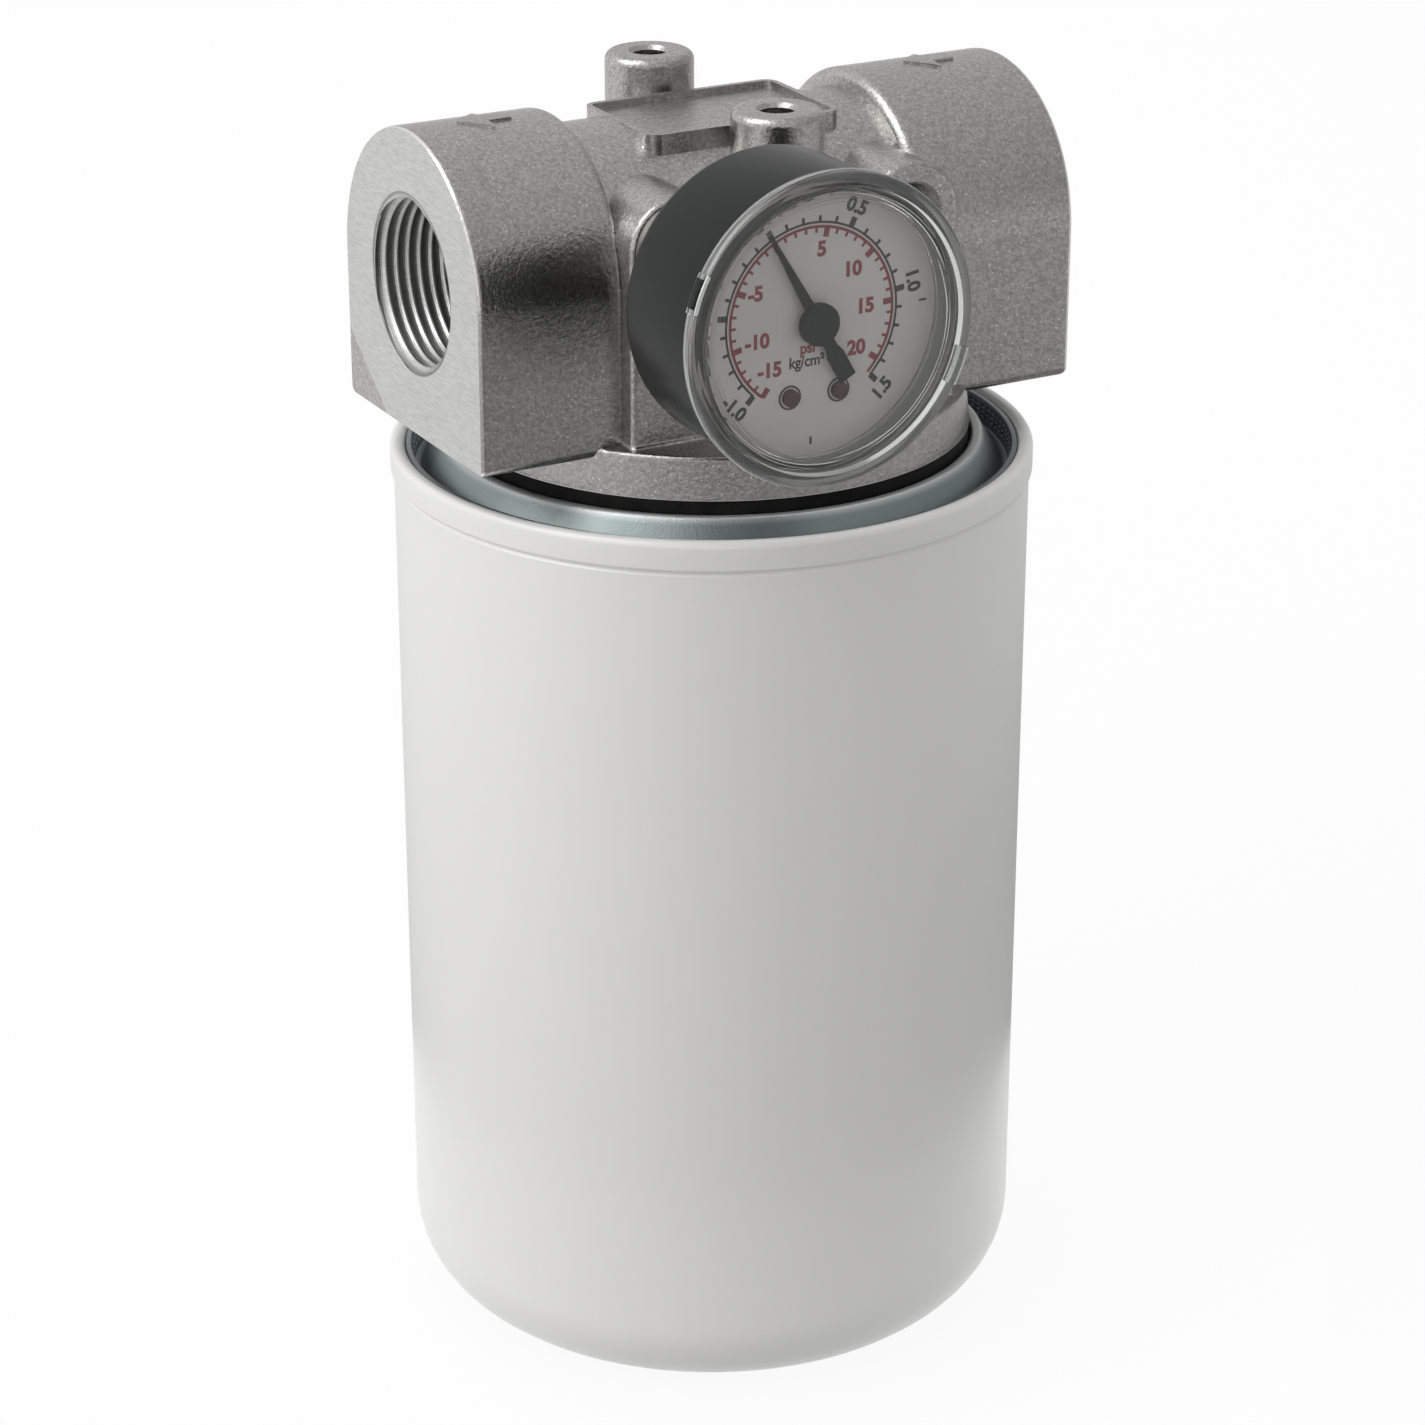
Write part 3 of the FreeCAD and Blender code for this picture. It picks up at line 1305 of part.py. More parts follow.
def makePointer():
    body = onGauge(newBody("pointer"))
    sheetBack = dialFront + pointerStand
    bearing = pointerZero
    along = (cosine(bearing), sine(bearing))

    def place(forward, sideways):
        x = forward * along[0] - sideways * along[1]
        y = forward * along[1] + sideways * along[0]
        return (x, y)

    sketch = newSketch(body, "PointerOutline", "XY_Plane", sheetBack)
    outline(sketch, [
        place(pointerLength, pointerSlim),
        place(zero, pointerNeck),
        place(-neckEnd, pointerNeck),
        place(-tailStart, pointerBroad),
        place(-pointerTail, pointerBroad),
        place(-pointerTail, -pointerBroad),
        place(-tailStart, -pointerBroad),
        place(-neckEnd, -pointerNeck),
        place(zero, -pointerNeck),
        place(pointerLength, -pointerSlim),
    ])
    pad(body, "Needle", sketch, pointerSheet)
    hub = newSketch(body, "HubOutline", "XY_Plane", sheetBack)
    circle(hub, zero, zero, pointerHub)
    pad(body, "Hub", hub, hubThick)
    bore = newSketch(body, "BoreOutline", "XY_Plane", sheetBack)
    circle(bore, zero, zero, shaftRadius + drivenFit)
    pocket(body, "Bore", bore, pointerSheet, True)


def build():
    makeHead()
    makeNipple()
    makeBypass()
    makeCanShell()
    makeRetainer()
    makeGasket()
    makeTappingPlate()
    makeEndCaps()
    makeCentreTube()
    makeMedia()
    makeGrommet()
    makeSupportSpring()
    makeSocket()
    makeWasher()
    makeCase()
    makeLens()
    makeDial()
    makeScrewsAndPosts()
    movementPlate("movement_back_plate", backPlate)
    movementPlate("movement_front_plate", frontPlate)
    makePinion()
    makeSector()
    makeBourdonTube()
    makeTubeTip()
    makeLink()
    makePointer()
    doc.recompute()


def check():
    faults = []
    for item in doc.Objects:
        if "Invalid" in item.State or "Error" in item.State:
            faults.append("%s did not build" % item.Name)
    for item in subParts:
        if item.Shape.isNull() or not item.Shape.isValid() or item.Shape.Volume <= 0:
            faults.append("%s has no sound solid" % item.Label)
    if faults:
        raise RuntimeError(", ".join(faults))


build()
check()
os.makedirs("parts", exist_ok=True)
for item in subParts:
    item.Shape.exportStep("parts/%s.step" % item.Label)
    print("%-22s %10.1f mm3 %d solid" % (item.Label, item.Shape.Volume, len(item.Shape.Solids)))
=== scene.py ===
import bpy
import bmesh
import json
import math
import numpy as np
from functools import partial
from types import SimpleNamespace
from mathutils import Matrix, Vector


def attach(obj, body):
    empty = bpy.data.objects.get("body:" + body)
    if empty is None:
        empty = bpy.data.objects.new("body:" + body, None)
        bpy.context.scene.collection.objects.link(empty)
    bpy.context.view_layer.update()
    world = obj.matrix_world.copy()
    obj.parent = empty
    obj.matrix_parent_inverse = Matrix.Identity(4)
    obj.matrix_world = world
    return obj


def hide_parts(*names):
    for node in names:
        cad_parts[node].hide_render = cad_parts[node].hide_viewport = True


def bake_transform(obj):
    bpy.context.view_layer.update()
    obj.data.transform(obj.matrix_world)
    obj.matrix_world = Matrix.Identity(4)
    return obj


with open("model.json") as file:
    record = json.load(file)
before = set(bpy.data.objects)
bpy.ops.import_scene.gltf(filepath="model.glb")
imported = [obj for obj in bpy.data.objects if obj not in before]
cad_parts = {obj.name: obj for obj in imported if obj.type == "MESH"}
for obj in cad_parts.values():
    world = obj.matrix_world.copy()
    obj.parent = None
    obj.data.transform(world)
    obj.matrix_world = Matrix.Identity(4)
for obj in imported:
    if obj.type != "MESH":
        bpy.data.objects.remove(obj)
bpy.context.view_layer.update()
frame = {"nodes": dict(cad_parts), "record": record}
nodes = frame["nodes"]
print("frame loaded with", len(nodes), "nodes")

mm = 0.001


def named(sizes):
    # lets a piece's sizes be read as f.radius in place of sizes["radius"]
    return SimpleNamespace(**sizes)


# where local shapes are set: each place has an origin in mm and its right, up and out directions
places = {
    "can": ((0, 0, 0), (1, 0, 0), (0, 1, 0), (0, 0, 1)),
    "gauge": ((-18.9, 0, 177.7), (1, 0, 0), (0, 0, 1), (0, -1, 0)),
    "sparePort": ((18.9, 0, 177.7), (1, 0, 0), (0, 0, 1), (0, -1, 0)),
    "outlet": ((0, 0, 170.4), (0, -1, 0), (0, 0, 1), (-1, 0, 0)),
    "inlet": ((0, 0, 170.4), (0, 1, 0), (0, 0, 1), (1, 0, 0)),
}


def setIn(place, points):
    # world point = origin + a * right + b * up + h * out
    origin, right, up, out = (np.array(item, float) for item in places[place])
    return origin + points[..., 0:1] * right + points[..., 1:2] * up + points[..., 2:3] * out


def inPlace(place, points):
    # the reverse of setIn: radius from the place's axis, angle round it and height along it
    origin, right, up, out = (np.array(item, float) for item in places[place])
    a, b, h = ((points - origin) @ way for way in (right, up, out))
    return np.hypot(a, b), np.arctan2(b, a) % (2 * np.pi), h


def roundedPath(corners, steps=8):
    # each corner is (radius from the axis, height, fillet). A fillet's arc touches both neighbouring lines: its
    # centre is fillet / sin(half the corner's angle) away, and its points mix the first and the last spoke, each
    # weighed by the sine of the angle to the other
    path = []
    count = len(corners)
    for index, (r, h, fillet) in enumerate(corners):
        here = np.array((r, h), float)
        if fillet == 0 or index in (0, count - 1):
            path.append(here[None])
            continue
        before = np.array(corners[index - 1][:2], float) - here
        after = np.array(corners[index + 1][:2], float) - here
        before /= np.linalg.norm(before)
        after /= np.linalg.norm(after)
        half = math.acos(np.clip(before @ after, -1, 1)) / 2
        inward = (before + after) / np.linalg.norm(before + after)
        centre = here + inward * fillet / math.sin(half)
        first = here + before * fillet / math.tan(half) - centre
        last = here + after * fillet / math.tan(half) - centre
        t = np.linspace(0, 1, steps + 1)[:, None]
        span = math.acos(np.clip(first @ last / fillet ** 2, -1, 1))
        path.append(centre + (np.sin((1 - t) * span) * first + np.sin(t * span) * last) / math.sin(span))
    return np.concatenate(path)


def gridFaces(rows, columns, wrapRows=False, wrapColumns=False):
    # quad (i, j) joins rows i, i + 1 and columns j, j + 1, the last joined to the first where it wraps
    i, j = np.meshgrid(np.arange(rows - (not wrapRows)), np.arange(columns - (not wrapColumns)), indexing="ij")
    below = (i + 1) % rows * columns
    right = (j + 1) % columns
    return np.stack([i * columns + j, i * columns + right, below + right, below + j], -1).reshape(-1, 4)


def turned(corners, place="can", count=128, closed=True, steps=8):
    # a section (r, h) swept once round the place's out direction: (r cos t, r sin t, h)
    path = roundedPath(corners, steps)
    t = np.linspace(0, 2 * np.pi, count, endpoint=False)
    points = np.stack([path[:, :1] * np.cos(t), path[:, :1] * np.sin(t), np.repeat(path[:, 1:], count, 1)], -1)
    return setIn(place, points).reshape(-1, 3), gridFaces(len(path), count, closed, True)


def pointsOf(mesh):
    points = np.empty(len(mesh.vertices) * 3)
    mesh.vertices.foreach_get("co", points)
    return points.reshape(-1, 3)


def mend(mesh, merge=0.0, thin=0.0, outward=False):
    # joins corners nearer than merge, drops edges shorter than thin, turns the faces outwards, counts open edges
    made = bmesh.new()
    made.from_mesh(mesh)
    if merge:
        bmesh.ops.remove_doubles(made, verts=made.verts, dist=merge)
    if thin:
        bmesh.ops.dissolve_degenerate(made, dist=thin, edges=made.edges)
    if outward:
        bmesh.ops.recalc_face_normals(made, faces=made.faces)
    openEdges = sum(edge.is_boundary for edge in made.edges)
    made.to_mesh(mesh)
    made.free()
    return openEdges


def makeMesh(name, surfaces, finishes, sharp=32):
    # surfaces are (points in mm, faces) or (points, faces, finish number), put together as one mesh in metres
    points, faces, numbers, base = [], [], [], 0
    for surface in surfaces:
        points.append(np.asarray(surface[0]) * mm)
        faces.extend((np.asarray(surface[1]) + base).tolist())
        numbers.extend([surface[2] if len(surface) > 2 else 0] * len(surface[1]))
        base += len(surface[0])
    mesh = bpy.data.meshes.new(name)
    mesh.from_pydata(np.concatenate(points).tolist(), [], faces)
    mesh.polygons.foreach_set("material_index", numbers)
    openEdges = mend(mesh, 2e-6, 1e-7, True)
    print(name, "made with", len(mesh.polygons), "faces and", openEdges, "open edges")
    for finish in finishes:
        mesh.materials.append(materials[finish])
    mesh.shade_smooth()
    mesh.set_sharp_from_angle(angle=math.radians(sharp))
    return mesh


def newObject(name, data):
    made = bpy.data.objects.new(name, data)
    bpy.context.collection.objects.link(made)
    return made


def addPiece(mesh, body, slotName, *replaced):
    piece = newObject(mesh.name, mesh)
    if body:
        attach(piece, body)
    if replaced:
        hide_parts(*replaced)
    return piece


# Camera, fitted to the photograph
camera = {
    "azimuth": -29.203, "elevation": 23.224, "roll": 0.215,
    "target": (0.006471, 0.0, 0.090059), "distance": 0.633244,
    "data": {"lens": 103.114, "sensor_width": 36.0, "shift_x": -0.02517, "shift_y": 0.01393, "clip_end": 10},
}


def setCamera():
    azimuth, elevation, roll = (math.radians(camera[key]) for key in ("azimuth", "elevation", "roll"))
    level = math.cos(elevation)
    back = Vector((math.sin(azimuth) * level, -math.cos(azimuth) * level, math.sin(elevation)))
    right = (-back).cross(Vector((0, 0, 1))).normalized()
    up = right.cross(-back)
    rolledRight = math.cos(roll) * right + math.sin(roll) * up
    rolledUp = math.cos(roll) * up - math.sin(roll) * right
    data = bpy.data.cameras.new("camera")
    for key, value in camera["data"].items():
        setattr(data, key, value)
    eye = newObject("camera", data)
    turn = Matrix((rolledRight, rolledUp, back)).transposed().to_4x4()
    eye.matrix_world = Matrix.Translation(Vector(camera["target"]) + back * camera["distance"]) @ turn
    bpy.context.scene.camera = eye


setCamera()
bpy.context.scene.view_settings.view_transform = "Standard"
print("camera set")


# Node helpers: every material tree is written with these. They work in the tree of the outputs that they are given
def connect(socket, value):
    # an output is linked; a number, vector or colour is set, and a colour of three parts is made opaque
    if isinstance(value, bpy.types.NodeSocket):
        socket.id_data.links.new(value, socket)
    else:
        socket.default_value = (*value, 1) if socket.type == "RGBA" else value


def add(tree, kind, inputs=(), **settings):
    made = tree.nodes.new("ShaderNode" + kind)
    for key, value in settings.items():
        setattr(made, key, value)
    for key, value in dict(inputs).items():
        connect(made.inputs[key], value)
    return made


def calc(operation, *values):
    tree = next(value.id_data for value in values if isinstance(value, bpy.types.NodeSocket))
    return add(tree, "Math", enumerate(values), operation=operation).outputs[0]


times, plus, minus, above, below, either = (partial(calc, operation) for operation in (
    "MULTIPLY", "ADD", "SUBTRACT", "GREATER_THAN", "LESS_THAN", "MAXIMUM"))


def ramp(value, low, high, toLow=0.0, toHigh=1.0, kind="SMOOTHSTEP"):
    ends = {"Value": value, "From Min": low, "From Max": high, "To Min": toLow, "To Max": toHigh}
    return add(value.id_data, "MapRange", ends, interpolation_type=kind).outputs["Result"]


def split(vector):
    return add(vector.id_data, "SeparateXYZ", {0: vector}).outputs


def mixColor(fac, first, second):
    return add(fac.id_data, "Mix", {0: fac, 6: first, 7: second}, data_type="RGBA").outputs[2]


def tint(base, mask, share, color):
    return mixColor(times(mask, share), base, color)


def mixValue(fac, first, second):
    gap = add(fac.id_data, "Math", {0: second, 1: first}, operation="SUBTRACT").outputs[0]
    return plus(times(fac, gap), first)


def shade(color, share):
    return tuple(share * part for part in color)


def noise(vector, scale, detail=2.0, rough=0.5, stretch=None):
    if stretch is not None:
        vector = add(vector.id_data, "Mapping", {"Vector": vector, "Scale": stretch}).outputs[0]
    shape = {"Vector": vector, "Scale": scale, "Detail": detail, "Roughness": rough}
    return add(vector.id_data, "TexNoise", shape).outputs["Fac"]


def newGroup(name, inputs, outputs):
    group = bpy.data.node_groups.new(name, "ShaderNodeTree")
    for label, kind, default in inputs:
        socket = group.interface.new_socket(label, in_out="INPUT", socket_type="NodeSocket" + kind)
        if default is not None:
            socket.default_value = default
    for label in outputs:
        group.interface.new_socket(label, in_out="OUTPUT", socket_type="NodeSocketFloat")
    return group, group.nodes.new("NodeGroupInput").outputs, group.nodes.new("NodeGroupOutput").inputs


def use(group, **inputs):
    return add(inputs["Vector"].id_data, "Group", inputs, node_tree=group).outputs


def castGrainGroup():
    # height: a fine noise; sparkle: the highest tops of a finer one; pits: its lowest; mottle: a slow swell
    group, given, out = newGroup("cast grain", [("Vector", "Vector", None), ("Grain", "Float", 2.0)],
                                 ["Height", "Sparkle", "Pits", "Mottle"])
    fine = noise(given["Vector"], given["Grain"], 3.0, 0.65)
    slow = noise(given["Vector"], times(given["Grain"], 0.09), 2.0)
    spark = noise(given["Vector"], times(given["Grain"], 1.6), 2.0, 0.6)
    connect(out["Height"], fine)
    connect(out["Sparkle"], ramp(spark, 0.63, 0.74))
    connect(out["Pits"], ramp(spark, 0.42, 0.30))
    connect(out["Mottle"], ramp(slow, 0.3, 0.7))
    return group


def scuffGroup():
    # marks: two stretched noises, the stronger one where a slow patch noise is high, so that fine lines come and
    # go; blur: the patches alone
    group, given, out = newGroup("scuffs", [("Vector", "Vector", None), ("Scale", "Float", 1.0)], ["Marks", "Blur"])
    patches = noise(given["Vector"], times(given["Scale"], 0.09), 3.0)
    lines = noise(given["Vector"], given["Scale"], 3.0, 0.6, (0.12, 1.0, 2.2))
    across = noise(given["Vector"], given["Scale"], 3.0, 0.6, (1.8, 0.15, 1.1))
    marks = ramp(either(lines, across), 0.6, 0.72)
    connect(out["Marks"], times(marks, ramp(patches, 0.45, 0.65)))
    connect(out["Blur"], ramp(patches, 0.3, 0.7))
    return group


def ringsGroup():
    # height: (1 + sin(2 pi * (distance * feed + a little noise))) / 2, as a lathe tool leaves it
    sockets = [("Distance", "Float", 0.0), ("Vector", "Vector", None), ("Feed", "Float", 4.0)]
    group, given, out = newGroup("turned rings", sockets, ["Height"])
    wobble = noise(given["Vector"], 0.5, 1.0)
    phase = plus(times(given["Distance"], given["Feed"]), wobble)
    wave = calc("SINE", times(phase, 6.2832))
    connect(out["Height"], calc("MULTIPLY_ADD", wave, 0.5, 0.5))
    return group


castGrain = castGrainGroup()
scuffs = scuffGroup()
turnedRings = ringsGroup()


def blankMaterial(name):
    made = bpy.data.materials.new(name)
    made.use_nodes = True
    return made, made.node_tree, made.node_tree.nodes["Principled BSDF"]


def newMaterial(name):
    # with the object's own coordinates in mm
    made, tree, shader = blankMaterial(name)
    coordinates = add(tree, "TexCoord").outputs["Object"]
    inMm = add(tree, "VectorMath", {0: coordinates, 1: (1000, 1000, 1000)}, operation="MULTIPLY").outputs[0]
    return made, shader, inMm


shaderInputs = {
    "color": "Base Color", "rough": "Roughness", "metal": "Metallic", "coat": "Coat Weight",
    "coatRough": "Coat Roughness", "normal": "Normal", "glass": "Transmission Weight", "ior": "IOR",
    "level": "Specular IOR Level",
}


def feed(shader, **values):
    for key, value in values.items():
        connect(shader.inputs[shaderInputs[key]], value)


def bump(height, depth):
    # depth is the height's full range in millimetres
    return add(height.id_data, "Bump", {"Height": height, "Distance": depth * mm, "Strength": 1.0}).outputs[0]


def axisDistance(inMm, place):
    # square root of a * a + b * b, both measured from the place's axis in mm
    origin, out = places[place][0], places[place][3]
    parts = split(inMm)
    a, b = (minus(parts[axis], origin[axis]) for axis in range(3) if out[axis] == 0)
    return calc("SQRT", plus(times(a, a), times(b, b)))


castFinish = {
    "dark": (0.41, 0.403, 0.39), "cast": (0.54, 0.532, 0.516), "spark": (1.0, 0.985, 0.95), "pit": (0.17, 0.166, 0.158),
    # dull: painted shade, low on the flange and in the thread roots
    "dull": (0.20, 0.20, 0.195), "machined": (0.74, 0.74, 0.735), "toolMark": (0.58, 0.58, 0.575),
    "castRough": 0.27, "machinedRough": 0.30, "grain": 1.6, "depth": 0.085, "cutDepth": 0.012, "toolFeed": 3.2,
    # edgeX: where the painted highlight line inside the port faces' edges begins
    "faceX": 48.42, "edgeX": 48.07, "leftY": 11.0, "leftZ": 149.4, "leftSlope": 1.26,
    "boreX": 31.0, "boreRadius": 13.5, "threadCrest": 12.3, "threadRoot": 13.1,
    "gasketFace": 143.3, "flangeTop": 150.0, "flangeBelow": 149.0, "flangeX": 40.42,
}


def castAluminium():
    # cast skin everywhere, with painted shade low on the flange and a painted highlight line along the port faces'
    # edges; machined where a cutter has been: both port faces but for their unmilled corner, the bores with
    # painted shade in their thread roots, and the gasket face
    f = named(castFinish)
    made, shader, inMm = newMaterial("cast aluminium")
    parts = split(inMm)
    fromMiddle = calc("ABSOLUTE", parts["X"])
    radial = axisDistance(inMm, "inlet")
    left = plus(times(minus(parts["Z"], f.leftZ), f.leftSlope), f.leftY)
    atFace = above(fromMiddle, f.faceX)
    face = minus(atFace, times(atFace, above(parts["Y"], left)))
    bore = times(above(fromMiddle, f.boreX), below(radial, f.boreRadius))
    turnedZone = either(face, bore)
    cut = either(turnedZone, below(parts["Z"], f.gasketFace))
    grain = use(castGrain, Vector=inMm, Grain=f.grain)
    rings = use(turnedRings, Distance=radial, Vector=inMm, Feed=f.toolFeed)
    ringHeight = times(rings["Height"], turnedZone)
    rubbed = use(scuffs, Vector=inMm, Scale=1.4)
    skin = mixColor(ramp(grain["Height"], 0.38, 0.62), f.dark, f.cast)
    skin = tint(skin, grain["Pits"], 0.5, f.pit)
    skin = mixColor(grain["Sparkle"], skin, f.spark)
    skin = tint(skin, grain["Mottle"], 0.12, f.dark)
    # painted shade: the flange darker towards its foot, over the can
    low = ramp(parts["Z"], f.flangeTop, f.flangeBelow)
    skin = tint(skin, times(low, below(fromMiddle, f.flangeX)), 0.22, f.dull)
    # painted highlight: a thin bright line, in the sparkle's colour, just inside the port faces' edges
    edge = minus(above(fromMiddle, f.edgeX), atFace)
    skin = tint(skin, edge, 0.8, f.spark)
    brush = noise(inMm, 1.2, 4.0, 0.65, (1.0, 0.35, 2.4))
    bare = mixColor(ramp(brush, 0.35, 0.7), f.machined, f.toolMark)
    bare = tint(bare, ringHeight, 0.4, f.toolMark)
    # painted shade in the thread roots of the bores
    roots = times(ramp(radial, f.threadCrest, f.threadRoot), minus(bore, atFace))
    bare = tint(bare, roots, 0.8, f.dull)
    roughCast = minus(f.castRough, times(grain["Sparkle"], 0.1))
    roughCut = plus(f.machinedRough, times(rubbed["Blur"], 0.1))
    height = mixValue(cut, grain["Height"], times(ringHeight, f.cutDepth / f.depth))
    feed(shader, color=mixColor(cut, skin, bare), metal=1.0,
         rough=mixValue(cut, roughCast, roughCut), normal=bump(height, f.depth))
    return made


def platedMetal(name, color, dark, rough, scale=1.0):
    # a plated or bright metal: slow patches between two tones, fine scuffs that are duller
    made, shader, inMm = newMaterial(name)
    rubbed = use(scuffs, Vector=inMm, Scale=scale)
    grain = use(castGrain, Vector=inMm, Grain=3.0 * scale)
    base = mixColor(rubbed["Blur"], color, dark)
    base = tint(base, rubbed["Marks"], 0.35, shade(dark, 0.5))
    height = plus(times(grain["Height"], 0.5), times(rubbed["Marks"], 0.5))
    feed(shader, color=base, metal=1.0, rough=plus(rough, times(rubbed["Blur"], 0.12)),
         normal=bump(height, 0.02))
    return made


# lip and cone tones are painted reflections, the lip bright and the blue-grey cone darker; the channel's is painted
# shade
pressedFinish = {
    "lip": (0.70, 0.72, 0.715), "cone": (0.28, 0.325, 0.325), "channel": (0.25, 0.285, 0.285),
    "pit": (0.2, 0.23, 0.235), "mark": (0.62, 0.65, 0.65), "lipMetal": 0.72, "coneMetal": 0.88, "rough": 0.34,
    "lipEdge": (40.0, 40.9), "channelEdge": (42.4, 43.4),
}


def pressedRing():
    # the retainer's sheet by distance from the can's axis: a lip painted bright and a blue-grey cone painted darker,
    # both painted reflections, and a channel painted dim as painted shade
    f = named(pressedFinish)
    made, shader, inMm = newMaterial("pressed ring")
    distance = axisDistance(inMm, "can")
    rubbed = use(scuffs, Vector=inMm, Scale=1.2)
    grain = use(castGrain, Vector=inMm, Grain=2.6)
    # painted reflection on the lip and the cone, painted shade in the channel
    base = mixColor(ramp(distance, *f.lipEdge), f.lip, f.cone)
    base = mixColor(ramp(distance, *f.channelEdge), base, f.channel)
    base = tint(base, grain["Pits"], 0.35, f.pit)
    base = tint(base, rubbed["Marks"], 0.3, f.mark)
    feed(shader, color=base, metal=ramp(distance, *f.lipEdge, f.lipMetal, f.coneMetal),
         rough=plus(f.rough, times(rubbed["Blur"], 0.1)), normal=bump(grain["Height"], 0.05))
    return made


def turnedMetal(name, color, dark, rough, place="can", pitch=2.5):
    # a turned metal: tool rings about a place's axis over slow patches
    made, shader, inMm = newMaterial(name)
    distance = axisDistance(inMm, place)
    rings = use(turnedRings, Distance=distance, Vector=inMm, Feed=pitch)
    rubbed = use(scuffs, Vector=inMm, Scale=1.6)
    base = mixColor(rubbed["Blur"], color, dark)
    feed(shader, color=tint(base, rings["Height"], 0.2, dark), metal=1.0,
         rough=plus(rough, times(rubbed["Blur"], 0.12)), normal=bump(rings["Height"], 0.012))
    return made


def enamel(name, color, other, rough, coat, peel=0.35, depth=0.004, level=0.5):
    # paint: a slow orange-peel swell under a clear coat, with faint patches and a few handling marks
    made, shader, inMm = newMaterial(name)
    swell = noise(inMm, peel, 2.0)
    rubbed = use(scuffs, Vector=inMm, Scale=0.8)
    base = mixColor(rubbed["Blur"], color, other)
    feed(shader, color=tint(base, rubbed["Marks"], 0.02, shade(other, 0.8)), coat=coat, coatRough=0.28,
         rough=plus(rough, times(rubbed["Blur"], 0.04)), level=level, normal=bump(swell, depth))
    return made


def rubber():
    # moulded nitrile: fine matt grain with dusty patches
    made, shader, inMm = newMaterial("nitrile rubber")
    grain = use(castGrain, Vector=inMm, Grain=4.0)
    dusty = times(grain["Mottle"], grain["Height"])
    feed(shader, color=mixColor(dusty, (0.006, 0.006, 0.006), (0.018, 0.0175, 0.017)), level=0.1,
         rough=ramp(grain["Mottle"], 0, 1, 0.5, 0.65), normal=bump(grain["Height"], 0.03))
    return made


def filterPaper():
    # resin-treated paper: soft fibre noise and a slow stain
    made, shader, inMm = newMaterial("pleated paper")
    fibre = noise(inMm, 3.0, 4.0, 0.7, (1.0, 1.0, 0.35))
    stain = noise(inMm, 0.08, 2.0)
    base = mixColor(fibre, (0.66, 0.52, 0.26), (0.80, 0.68, 0.42))
    feed(shader, color=tint(base, stain, 0.35, (0.58, 0.43, 0.2)),
         rough=ramp(fibre, 0.3, 0.7, 0.72, 0.9), normal=bump(fibre, 0.06))
    return made


clearFinish = {
    # ring: the clear ring tinted grey, a painted shade
    "window": (0.84, 0.85, 0.845), "ring": (0.66, 0.67, 0.665), "wall": (0.60, 0.595, 0.58),
    "shadow": (0.9, 0.91, 0.905), "ringEdge": (17.3, 18.6), "wallEdge": (-66.6, -65.8),
    "haze": 0.025, "ringRough": 0.04, "wallRough": 0.16, "wallClear": 0.86, "ior": 1.45,
    "windowLevel": 0.22, "ringLevel": 0.6, "wave": 0.006,
}


def clearPlastic():
    # a clear window, softer towards the ring by distance from the gauge's axis and tinted grey there as painted shade,
    # and slightly milky towards the wall behind it by depth; lamps shine through, so it stands aside for shadow rays
    f = named(clearFinish)
    made, shader, inMm = newMaterial("clear cover")
    ring = ramp(axisDistance(inMm, "gauge"), *f.ringEdge)
    wall = ramp(split(inMm)["Y"], *f.wallEdge)
    haze = ramp(noise(inMm, 0.25, 2.0), 0.35, 0.75, 0.0, f.haze)
    rough = mixValue(wall, mixValue(ring, haze, f.ringRough), f.wallRough)
    # the ring's grey colour is painted shade
    color = mixColor(wall, mixColor(ring, f.window, f.ring), f.wall)
    feed(shader, color=color, rough=rough, glass=mixValue(wall, 1.0, f.wallClear), ior=f.ior,
         level=mixValue(ring, f.windowLevel, f.ringLevel),
         normal=bump(noise(inMm, 0.12, 1.0), f.wave))
    tree = made.node_tree
    clear = add(tree, "BsdfTransparent", {0: f.shadow})
    shadow = add(tree, "LightPath").outputs["Is Shadow Ray"]
    both = add(tree, "MixShader", {0: shadow, 1: shader.outputs[0], 2: clear.outputs[0]})
    connect(tree.nodes["Material Output"].inputs["Surface"], both.outputs[0])
    return made


def printInk(name, color):
    # dial ink: slightly uneven, as a pad print is
    made, shader, inMm = newMaterial(name)
    patchy = noise(inMm, 2.5, 2.0)
    feed(shader, color=mixColor(patchy, color, shade(color, 0.75)),
         rough=ramp(patchy, 0.3, 0.7, 0.45, 0.6))
    return made


